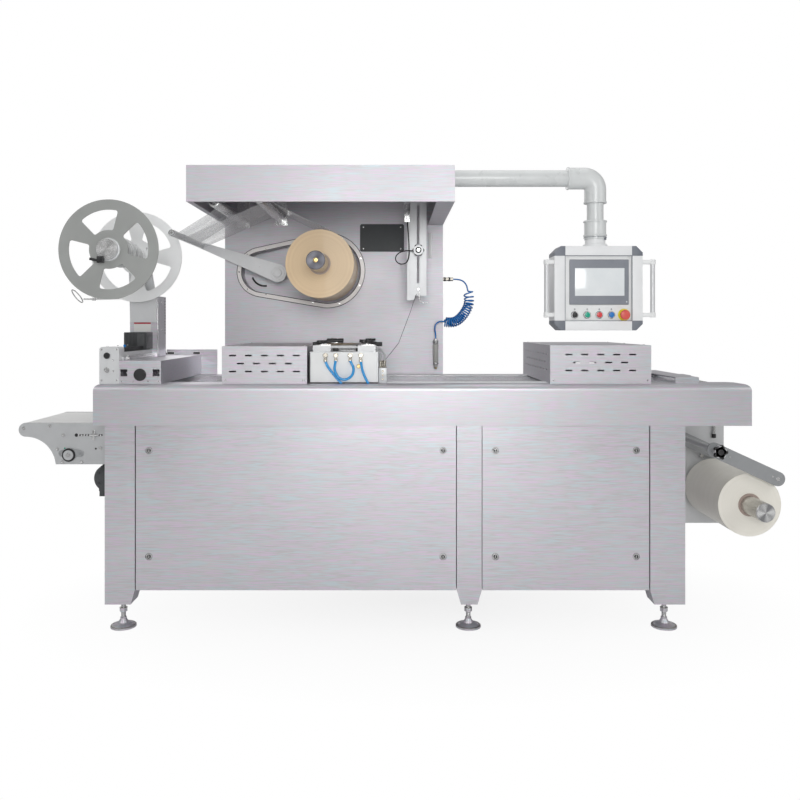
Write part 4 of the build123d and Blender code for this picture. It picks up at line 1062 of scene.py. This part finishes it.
class PACKAGING_OT_waste_reel(bpy.types.Operator):
    """Hub face, clamp, trimmed film windings and wire eye of the waste film reel"""

    bl_idname = "packaging.waste_reel"
    bl_label = "Waste film reel"

    def execute(self, context):
        hub = Shape()
        profile = [(-4, 0), (-4, 40), (1, 40), (2.4, 38.6), (2.4, 33), (1.2, 32), (1.2, 27), (2.6, 26)]
        profile += [(2.6, 15), (1, 14), (1, 8), (4, 7), (4, 0)]
        hub.turned((WASTE_X, 28, WASTE_Z), FRONT, profile, 56)
        hub.bolt_circle(WASTE_X, 25.6, WASTE_Z, 20.5, range(15, 375, 60), 3, 2.4)
        hub.bolt_circle(WASTE_X, 400, WASTE_Z, 58, range(40, 400, 90), 4, 3)
        hub.piece("reel_hub_face", "hub_face", "waste_reel")
        band = Shape()
        profile = [(-1, 39.2), (-1, 44), (2, 44), (3, 41), (18, 41), (18, 39.2)]
        band.turned((WASTE_X, 50, WASTE_Z), FRONT, profile, 56)
        band.piece("reel_hub_band", "plate", "waste_reel")

        clamp = Shape()
        clamp.pipe([(-1244, 22, 1442), (-1262, 20, 1430), (-1290, 22, 1436)], 5.5, 12)
        clamp.block((-1262, 14, 1420), (-1234, 26, 1446), 3)
        for step in range(4):
            clamp.turned((-1254 + step * 5, 14, 1426 + step * 4), FRONT, cap(3.4, -1, 4, 5, 2.4), 12)
        clamp.piece("reel_clamp", "black", "waste_reel")

        windings = Shape()
        for index in range(7):
            swell = 60 - abs(index - 2) * 4
            profile = [
                (-22, 37), (-22, swell - 6 + (index % 3) * 3), (-8, swell + (index % 2) * 5), (9, swell - 2),
                (22, swell - 8 + (index % 2) * 4), (22, 37),
            ]
            windings.turned((WASTE_X, 70 + index * 46, WASTE_Z), REAR, profile, 40)
        windings.piece("wound_edge_trim", "trim", "waste_reel")

        eye = Shape()
        eye.pipe(ring_points((-1498, 430, 1306), (0.62, 0.5, 0.6), 34), 2.6, 10)
        eye.pipe([(-1470, 430, 1293), (-1420, 430, 1293), (-1340, 434, 1295), (-1250, 442, 1297)], 3.4, 12)
        eye.turned((-1425, 430, 1293), RIGHT, disc(6.5, -7, 7), 16)
        eye.piece("trim_wire_eye", "chrome")

        edge = Shape()
        edge.block((-1150.5, 438.8, 1042), (-1147, 440.2, 1305), 0.5)
        for z in (1280, 1158):
            edge.bolt((-1147, 502, z), RIGHT, 5, 2)
        edge.bolt((WASTE_X, 425.6, 1518), FRONT, 5, 3)
        edge.bolt_circle(WASTE_X, 426, WASTE_Z, 34, (30, 150, 270), 3.6, 3)
        edge.piece("column_flange", "chrome")
        # black blocks in the flange's row of holes: painted shade in the openings
        holes = Shape()
        for z in range(1140, 1298, 13):
            holes.block((-1147.6, 546, z), (-1146.4, 556, z + 6), 0.3, 1)
        holes.piece("column_flange_hole_shade", "black")

        label = Shape()
        label.block((-1252, 438.6, 1150), (-1178, 440.2, 1196), 0.4)
        label.piece("column_label", "label")
        band = Shape()
        band.block((-1252, 438.2, 1184), (-1178, 439, 1196), 0.2)
        band.piece("column_label_band", "label_band")

        fins = Shape()
        for index in range(9):
            x = -1265 + index * 6
            fins.block((x, 344, 1080), (x + 2.6, 351, 1146), 0.5)
        for index in range(12):
            y = 356 + index * 6.6
            fins.block((-1269, y, 1080), (-1264, y + 2.8, 1146), 0.5)
        fins.block((-1208, 343, 1086), (-1176, 351, 1142), 2.5)
        fins.piece("reel_motor_fins", "casting")
        spot = Shape()
        spot.turned((-1262, 346, 1090), FRONT, cap(6, -6, 2, 3, 4.6), 20)
        spot.piece("reel_motor_plug", "blue")
        return {"FINISHED"}


# Outline of a panel corner, from the corner of the box inwards
CORNER = [(25, 0), (42, 0), (42, 38), (0, 38), (0, 25)]
# Buttons by finish, at their place in X
BUTTONS = {"black": 587, "green": 635, "red": 681.5, "button_blue": 728}
BUTTON_RING = [(-1, 0), (-1, 15), (3, 15), (5, 13.4), (5, 11), (3.5, 10.6), (3.5, 0)]
BUTTON_CAP = [(0, 0), (0, 10.4), (6, 10.4), (8.4, 8.6), (9, 5), (9, 0)]


class PACKAGING_OT_control_panel(bpy.types.Operator):
    """Panel box of light profiles with dark corners, its screen, buttons, handles and arm fittings"""

    bl_idname = "packaging.control_panel"
    bl_label = "Control panel"

    def execute(self, context):
        body = "control_panel"
        bars = Shape()
        for low, high in ((1446, 1483), (1158, 1195)):
            bars.block((TUBE_X - 130, -5, low), (TUBE_X + 130, 105, high), 2.5)
        for low, high in ((508, 549), (807, 848)):
            bars.block((low, -5, 1194), (high, 105, 1447), 2.5)
        profile = [(-2, 0), (-2, 47), (8, 47), (11, 44), (11, 39), (29, 39), (29, 0)]
        bars.turned((TUBE_X, TUBE_Y, 1483), UP, profile, 48)
        bars = bars.piece("panel_profiles", "panel", body)

        corners = Shape()
        for left in (True, False):
            for low in (True, False):
                outline = [(508 + a if left else 848 - a, 1158 + b if low else 1483 - b) for a, b in CORNER]
                corners.prism(outline, (0, -6, 0), RIGHT, UP, -112, 2)
        corners.piece("panel_corners", "corner_grey", body)

        seams = Shape()
        for z in (1195, 1446):
            seams.block((TUBE_X - 129, -4.8, z - 1.1), (TUBE_X + 129, 2, z + 1.1))
        for x in (549, 807):
            seams.block((x - 1.1, -4.8, 1195), (x + 1.1, 2, 1446))
        seams.turned((TUBE_X, TUBE_Y, 1520), UP, disc(44.6, 0, 1.4), 44)
        seams.turned((TUBE_X + 30, 18, 1513), (0.7, -0.7, 0), disc(5, 0, 4), 16)
        seams.piece("panel_seams", "corner_grey", body)

        face = Shape()
        face.block((545, 1, 1190), (811, 101, 1450), 2)
        for x in (560, 796):
            for z in (1204, 1438):
                face.bolt((x, 1, z), FRONT, 3, 2)
        face.piece("panel_face", "panel_white", body)
        bezel = Shape()
        bezel.block((566, -5, 1257), (794.5, 3, 1431), 3.5, 3)
        bezel = bezel.piece("screen_bezel", "bezel", body)
        glass = Shape()
        glass.block((586.5, -6.4, 1291), (777, -4.4, 1398), 0.8)
        glass.turned((785.6, -5, 1268), FRONT, cap(2.4, -1, 0.6, 1, 1.8), 16)
        glass.piece("screen_glass", "screen", body)

        rings = Shape()
        for x in BUTTONS.values():
            rings.turned((x, 1, 1218), FRONT, BUTTON_RING, 32)
        button_rings = rings.piece("button_rings", "chrome", body)
        for colour, x in BUTTONS.items():
            button = Shape().turned((x, -1.6, 1218), FRONT, BUTTON_CAP, 28)
            if colour == "black":
                button.block((x - 2.6, -17, 1208), (x + 2.6, -9, 1228), 1.6)
            button.piece("button_" + colour, colour, body)
        marks = Shape()
        for x in BUTTONS.values():
            marks.block((x - 3.6, -0.2, 1239), (x + 3.6, 1.2, 1240.4))
            marks.block((x - 0.7, -0.2, 1236), (x + 0.7, 1.2, 1243.4))
        marks.piece("button_marks", "corner_grey", body)
        stop = Shape().turned((777, 1, 1218), FRONT, cap(23.5, -1, 2, 3, 22.5), 44)
        stop.piece("stop_plate", "yellow", body)
        dome = [(2, 0), (2, 12), (12, 12), (14, 18), (19, 19), (23, 17), (25, 11), (25.6, 0)]
        Shape().turned((777, 1, 1218), FRONT, dome, 40).piece("stop_button", "stop_red", body)

        grips = Shape()
        lugs = Shape()
        for x, edge in ((480, 508), (890, 848)):
            inner = math.copysign(1, edge - x)
            grips.pipe([(x, 9, 1226), (x, 9, 1414)], 9, 20)
            for z in (1218, 1422):
                lugs.turned((x, 9, z), UP, [(-10, 0), (-10, 9), (-8, 11.4), (8, 11.4), (10, 9), (10, 0)], 24)
                low, high = sorted((x, edge + inner * 3))
                lugs.block((low, 0, z - 8), (high, 18, z + 8), 3)
                lugs.bolt((x, -2.2, z), FRONT, 4, 2.4)
        grips = grips.piece("panel_grips", "plate", body)
        lugs.piece("panel_grip_lugs", "panel_white", body)
        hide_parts("hmi_box")
        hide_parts("hmi_screen")
        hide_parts("hmi_controls")
        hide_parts("hmi_handles")

        lips = Shape()
        for centre, axis in (((567, 50, 1752), RIGHT), ((TUBE_X, TUBE_Y, 1654), UP)):
            lips.turned(centre, axis, [(0, 0), (0, 43.6), (1, 44.4), (6, 44.4), (7, 43.6), (7, 0)], 44)
        profile = [(0, 0), (0, 44.6), (1, 45.2), (5, 45.2), (6, 44.6), (6, 0)]
        for z in (1580, 1526):
            lips.turned((TUBE_X, TUBE_Y, z), UP, profile, 44)
        lips.piece("arm_socket_lips", "tube")
        return {"FINISHED"}


class PACKAGING_OT_cutting_unit(bpy.types.Operator):
    """Caps, sockets, belt, rail and screws of the cutting unit"""

    bl_idname = "packaging.cutting_unit"
    bl_label = "Cutting unit"

    def execute(self, context):
        caps = Shape()
        caps.turned((-1222, 18, 1060), FRONT, cap(12, -1, 5, 7, 10), 28)
        profile = [(-1, 0), (-1, 24), (4, 24), (6, 22), (6.6, 14), (6.6, 0)]
        caps.turned((-1094, 18, 986), FRONT, profile, 40)
        for x in (-1156, -1035):
            caps.block((x - 16, 678, 1043), (x + 16, 681.5, 1053), 4)
        caps.piece("cutter_caps", "black")
        metal = Shape()
        profile = [(-1, 0), (-1, 11), (3, 11), (4, 10), (4, 6.6), (1, 6), (1, 0)]
        metal.turned((-1222, 18, 1004), FRONT, profile, 28)
        for x, z in ((-1243, 1084), (-1184, 1084), (-1243, 964), (-1184, 964), (-1198, 1042), (-1198, 1000)):
            metal.bolt((x, 18, z), FRONT, 3.6, 2.4)
        for x in (-1166, -1120, -1062, -1022):
            metal.bolt((x, 18, 960), FRONT, 3.2, 2)
        for x in (-1156, -1034):
            metal.block((x - 6, 60, 982), (x + 10, 300, 996), 2)
        for y in (70, 190, 310, 430):
            metal.bolt((-1238, y, 1094), UP, 3.6, 2.4)
        metal.piece("cutter_screws", "chrome")
        rail = Shape()
        rail.block((-1173, 80, 1040), (-1156, 620, 1052), 1)
        rail.block((-1169, 82, 1052), (-1160, 618, 1058), 1)
        for y in (120, 240, 360, 480, 580):
            rail.bolt((-1164.5, y, 1058), UP, 3, 1.6)
        rail.piece("cutter_rail", "chrome")
        belt = Shape()
        belt.block((-1190, 80, 1071), (-1186, 438, 1087))
        for index in range(36):
            y = 83 + index * 10
            belt.block((-1191, y, 1073), (-1182, y + 4.6, 1090), 0.6, 1)
        belt.piece("cutter_tooth_belt", "black")
        return {"FINISHED"}


class PACKAGING_OT_forming_unit(bpy.types.Operator):
    """Face plate, hose ends, valve block and clamps of the forming unit"""

    bl_idname = "packaging.forming_unit"
    bl_label = "Forming unit"

    def execute(self, context):
        plate = Shape()
        plate.block((-436, FORMING_FACE, 956), (-176, FORMING_FACE + 5, 1070), 1.5)
        plate.piece("forming_face", "panel_white")
        # black strips in the gap beside and below the face plate: painted shade in the gap
        gap = Shape()
        gap.block((-440.5, 39, 952), (-437, 43, 1072))
        gap.block((-440, 39.6, 950.5), (-172, 43, 955))
        gap.piece("forming_gap_shade", "black")
        metal = Shape()
        for x in (-377, -336, -280, -239):
            metal.turned((x, FORMING_FACE, 1060), FRONT, cap(10, 0, 2, 3, 9), 24)
            metal.hexagon((x, 30, 1060), FRONT, 15, 5)
            metal.turned((x, 33, 1040), UP, cap(7.4, -4, 5, 7, 6), 22)
        metal.piece("forming_hose_ends", "nickel")
        plug = Shape()
        profile = [(-1, 0), (-1, 8.6), (3, 8.6), (5, 6.6), (5, 3), (3, 2.6), (3, 0)]
        plug.turned((-247, FORMING_FACE, 1018), FRONT, profile, 24)
        plug.piece("forming_plug", "brass")

        valve = Shape()
        valve.block((-170, 58, 950.5), (-137, 112, 1011), 3)
        valve.piece("valve_block", "clear_block")
        ports = Shape()
        for x, y in ((-162, 74), (-146, 74), (-154, 98)):
            ports.hexagon((x, y, 1010.5), UP, 12, 8)
            profile = [(0, 0), (0, 4.6), (9, 4.6), (10, 6), (20, 6), (21, 5), (21, 0)]
            ports.turned((x, y, 1018), UP, profile, 20)
        for z in (966, 982, 998):
            ports.turned((-153.5, 58, z), FRONT, cap(4.4, -1, 2, 3, 3.4), 18)
        ports.piece("valve_ports", "nickel")
        lines = Shape()
        for x, y, reach in ((-162, 74, -228), (-146, 74, -262)):
            line = [(x, y, 1036), (x, y, 1060), (x - 14, y + 14, 1082), (reach, y + 60, 1092)]
            lines.pipe([*line, (reach - 20, y + 90, 1080)], 4.2, 12)
        lines.piece("valve_lines", "grey_line")

        grips = Shape()
        metal = Shape()
        for x in (-394, -217):
            for y in (102, 598):
                metal.turned((x, y, 1098), UP, [(-1, 0), (-1, 14), (3, 14), (3, 6), (13, 6), (13, 0)], 24)
                grips.prism(star(5, 25, 17), (x, y, 1107), RIGHT, REAR, 11, 2)
                metal.bolt((x, y, 1118), UP, 5, 2)
                metal.block((x - 31, y - 27, 1096.5), (x + 31, y - 19, 1101), 1)
                metal.block((x - 31, y + 19, 1096.5), (x + 31, y + 27, 1101), 1)
        for start, end in (((-432, 96, 1104), (-322, 106, 1117)), ((-246, 92, 1116), (-168, 108, 1103))):
            grips.pipe([start, Vector(start).lerp(Vector(end), 0.5) + Vector((0, 0, 3)), end], 6.5, 14)
            grips.turned(end, RIGHT, [(-12, 0), (-12, 8), (10, 9), (12, 7), (12, 0)], 18)
        grips.block((-352, 96, 1075), (-330, 128, 1096), 3)
        grips.block((-262, 96, 1075), (-240, 128, 1098), 3)
        grips.piece("clamp_grips", "black")
        for y in (180, 270, 430, 520):
            bow = [(-420, 1074), (-418, 1086), (-400, 1094), (-212, 1094), (-194, 1086), (-192, 1074)]
            metal.pipe([(x, y, z) for x, z in bow], 5, 14)
        for x in (-410, -306, -201):
            for y in (225, 350, 475):
                metal.hexagon((x, y, 1073.5), UP, 13, 7)
        metal.piece("forming_top_fittings", "chrome")
        top = Shape()
        top.block((-426, 140, 1073.5), (-186, 560, 1080), 1.5)
        top.piece("forming_top_plate", "plate")
        return {"FINISHED"}


# Route of the cable from the star knob up the bracket
SENSOR_CABLE = [
    (2, 492, 1500), (-14, 484, 1508), (-44, 480, 1512), (-78, 478, 1506), (-100, 478, 1488),
    (-102, 480, 1466), (-84, 483, 1450), (-58, 486, 1452), (-44, 490, 1470), (-40, 494, 1500),
    (-42, 496, 1560), (-48, 497, 1640),
]


class PACKAGING_OT_sensor(bpy.types.Operator):
    """Star knob, cable loop, hook and fixings of the slotted bracket"""

    bl_idname = "packaging.sensor"
    bl_label = "Sensor bracket"

    def execute(self, context):
        knob = Shape()
        knob.prism(star(6, 27, 20), (0, 480, 1512), RIGHT, UP, 12, 2.4)
        knob.turned((0, 468, 1512), FRONT, [(-1, 0), (-1, 14), (5, 13), (7, 11), (7, 0)], 30)
        knob.piece("bracket_star_knob", "black")
        metal = Shape()
        metal.turned((0, 461, 1512), FRONT, cap(8, -1, 1.6, 2.6, 7), 22)
        metal.turned((0, 499, 1512), FRONT, cap(19, 0, 2, 3, 18), 30)
        for z in (1340, 1745):
            metal.bolt((0, 500, z), FRONT, 5, 3)
        metal.block((-64, 498.5, 1640), (-36, 502, 1732), 1)
        for z in (1656, 1716):
            metal.bolt((-52, 498.5, z), FRONT, 4, 3)
        hook = [(6, 502, 1325), (4, 500, 1300), (10, 498, 1284), (26, 497, 1277), (44, 497, 1279)]
        metal.pipe(hook, 2.6, 12)
        metal.piece("bracket_fixings", "chrome")
        cable = Shape()
        route = [tuple(part * MM for part in point) for point in SENSOR_CABLE]
        cable.pipe([point / MM for point in points_along(route)], 2.6, 10)
        cable.piece("bracket_cable", "black")
        thread = Shape()
        thread.pipe([(-8, 498, 1318), (-40, 380, 1230), (-90, 210, 1104), (-146, 100, 1038)], 1.1, 8)
        thread.piece("sensor_lead", "casting")
        strip = Shape()
        strip.block((57, 695.5, 1496), (70, 700.5, 1614), 1)
        strip.block((59, 694.5, 1500), (68, 696.5, 1610), 0.6)
        strip.piece("cabinet_strip", "panel_white")
        return {"FINISHED"}


class PACKAGING_OT_base_film(bpy.types.Operator):
    """Star knob, plunger, screws, core and shaft nose of the base film carrier"""

    bl_idname = "packaging.base_film"
    bl_label = "Base film carrier"

    def execute(self, context):
        knob = Shape()
        knob.prism(star(5, 31, 18), (1220, 184, 661), RIGHT, UP, 14, 2.6)
        knob.turned((1220, 171, 661), FRONT, [(-1, 0), (-1, 13), (4, 12), (5, 10), (5, 0)], 28)
        knob.turned((1399, 690, 658), UP, cap(10, -9, 7, 9, 8), 24)
        knob.piece("carrier_knobs", "black")
        metal = Shape()
        metal.turned((1220, 196, 661), FRONT, cap(15, -8, 10, 12, 13), 28)
        metal.pipe([(1399, 690, 646), (1399, 690, 716)], 4, 14)
        spring = []
        for index in range(73):
            angle = index * math.pi / 6
            spring.append((1399 + 7 * math.cos(angle), 690 + 7 * math.sin(angle), 669 + index * 0.5))
        metal.pipe(spring, 1.3, 8)
        metal.block((1388, 686, 704), (1410, 702, 712), 1.5)
        metal.turned((1343, CARRIER_FACE, 564), FRONT, cap(11, -1, 10, 12, 9), 28)
        for x, z in ((940, 740), (1080, 740), (1240, 740), (1360, 740), (940, 300), (1250, 300)):
            metal.bolt((x, CARRIER_FACE, z), FRONT, 6, 4)
        metal.piece("carrier_fittings", "chrome")

        arm = Shape()
        for x, z in ((1262, 642), (1284, 632), (1461, 551), (1484, 540)):
            arm.bolt((x, 236, z), FRONT, 4, 3)
            arm.bolt((x, 680, z), REAR, 4, 3)
        arm.turned((1484, 236, 540), FRONT, cap(9, -1, 1.4, 2.4, 8), 24)
        arm.piece("base_arm_screws", "chrome", "base_film_arm")

        nose = Shape()
        profile = [(-6, 0), (-6, 38.2), (-1, 38.2), (1.8, 35.6), (1.8, 34), (0.8, 33), (0.8, 0)]
        nose.turned((BASE_X, 121, BASE_Z), FRONT, profile, 56)
        nose.piece("base_shaft_nose", "base_face", "base_reel")
        strips = Shape()
        strips.strips(BASE_X, 150, BASE_Z, (45, 165, 285), 5, 2.6, 112)
        strips.piece("base_shaft_strips", "shaft", "base_reel")
        core = Shape()
        profile = [(-6, 38.4), (-6, 48), (1, 48), (1.8, 47), (1.8, 38.4)]
        core.turned((BASE_X, 268, BASE_Z), FRONT, profile, 56)
        core.piece("base_core", "core", "base_reel")
        return {"FINISHED"}


class PACKAGING_OT_conveyor(bpy.types.Operator):
    """Bearings, screws, guide chain and terminal box of the outfeed conveyor"""

    bl_idname = "packaging.conveyor"
    bl_label = "Outfeed conveyor"

    def execute(self, context):
        screws = Shape()
        points = (
            (-1599, 763), (-1495, 773), (-1440, 736), (-1464, 679), (-1291, 684),
            (-1443, 627), (-1366, 627), (-1080, 760), (-1080, 640),
        )
        for x, z in points:
            screws.bolt((x, CONVEYOR_FACE, z), FRONT, 6.5, 3.5)
            screws.bolt((x, 560, z), REAR, 5, 3)
        profile = [(-1, 0), (-1, 9), (6, 9), (8, 7), (8, 2), (5, 1.6), (5, 0)]
        screws.turned((-1418, 136, 656), FRONT, profile, 28)
        screws.block((-1322, 131, 716), (-1312, 140.5, 755), 2)
        screws.turned((-1317, 133, 735.5), RIGHT, disc(4, -14, 14), 16)
        for index in range(9):
            x = -1378 + index * 11
            screws.turned((x, 139, 735.5), FRONT, cap(3.2, 0, 2.6, 3.4, 2), 14)
        screws.piece("conveyor_screws", "chrome")
        dark = Shape()
        profile = [(-1, 20.2), (-1, 27), (6, 27), (8, 25), (8, 20.2)]
        dark.turned((-1418, CONVEYOR_FACE, 656), FRONT, profile, 36)
        dark.block((-1389, 139.4, 732), (-1283, 140.4, 739), 0.4)
        dark.turned((-1388, CONVEYOR_FACE, 735.5), FRONT, disc(7, -1, 1.2), 20)
        dark.turned((-1310, CONVEYOR_FACE, 681), FRONT, disc(4, -1, 0.6), 18)
        dark.piece("conveyor_bearing_seal", "black")
        flange = Shape()
        outline = arc(-1446, 662, 13, 90, 250, 8) + arc(-1372, 661, 13, -70, 90, 8)
        outline += arc(-1409, 656, 27, 60, 120, 8)
        flange.prism(outline, (0, 140.4, 0), RIGHT, UP, 4.4, 1)
        for x, z in ((-1447, 662), (-1371, 661)):
            flange.bolt((x, 136, z), FRONT, 7, 4)
        flange.piece("conveyor_bearing_flange", "arm_grey")
        lamp = Shape()
        lamp.turned((-1435, CONVEYOR_FACE, 683), FRONT, cap(3, -1, 1.2, 1.8, 2), 16)
        lamp.piece("conveyor_green_mark", "green")
        box = Shape()
        box.block((-1333, 232, 489), (-1290, 330, 532), 6)
        profile = [(-1, 0), (-1, 50), (3, 50), (5, 47), (5, 22), (8, 20), (8, 0)]
        box.turned((MOTOR_X, 219, MOTOR_Z), FRONT, profile, 44)
        box.bolt_circle(MOTOR_X, 214, MOTOR_Z, 40, range(30, 390, 60), 4, 3)
        for y in range(244, 360, 14):
            box.turned((MOTOR_X, y, MOTOR_Z), REAR, [(0, 50), (0, 58), (4, 58), (4, 50)], 44)
        box.piece("conveyor_motor_fins", "casting")
        return {"FINISHED"}


OPERATORS = [
    PACKAGING_OT_stage, PACKAGING_OT_finishes, PACKAGING_OT_air_hose, PACKAGING_OT_frame_details,
    PACKAGING_OT_film_station, PACKAGING_OT_waste_reel, PACKAGING_OT_control_panel, PACKAGING_OT_cutting_unit,
    PACKAGING_OT_forming_unit, PACKAGING_OT_sensor, PACKAGING_OT_base_film, PACKAGING_OT_conveyor,
]


class PACKAGING_PT_sidebar(bpy.types.Panel):
    """Lists the steps that dress the machine"""

    bl_idname = "PACKAGING_PT_sidebar"
    bl_label = "Packaging machine"
    bl_space_type = "VIEW_3D"
    bl_region_type = "UI"
    bl_category = "Packaging"

    def draw(self, context):
        settings = context.scene.packaging_machine
        for name in MachineSettings.__annotations__:
            self.layout.prop(settings, name)
        for operator in OPERATORS:
            self.layout.operator(operator.bl_idname)


def register():
    for made in (MachineSettings, *OPERATORS, PACKAGING_PT_sidebar):
        bpy.utils.register_class(made)
    bpy.types.Scene.packaging_machine = bpy.props.PointerProperty(type=MachineSettings)


def unregister():
    del bpy.types.Scene.packaging_machine
    for made in (PACKAGING_PT_sidebar, *reversed(OPERATORS), MachineSettings):
        bpy.utils.unregister_class(made)


def main():
    register()
    for operator in OPERATORS:
        group, name = operator.bl_idname.split(".")
        getattr(getattr(bpy.ops, group), name)()


if __name__ == "__main__":
    main()
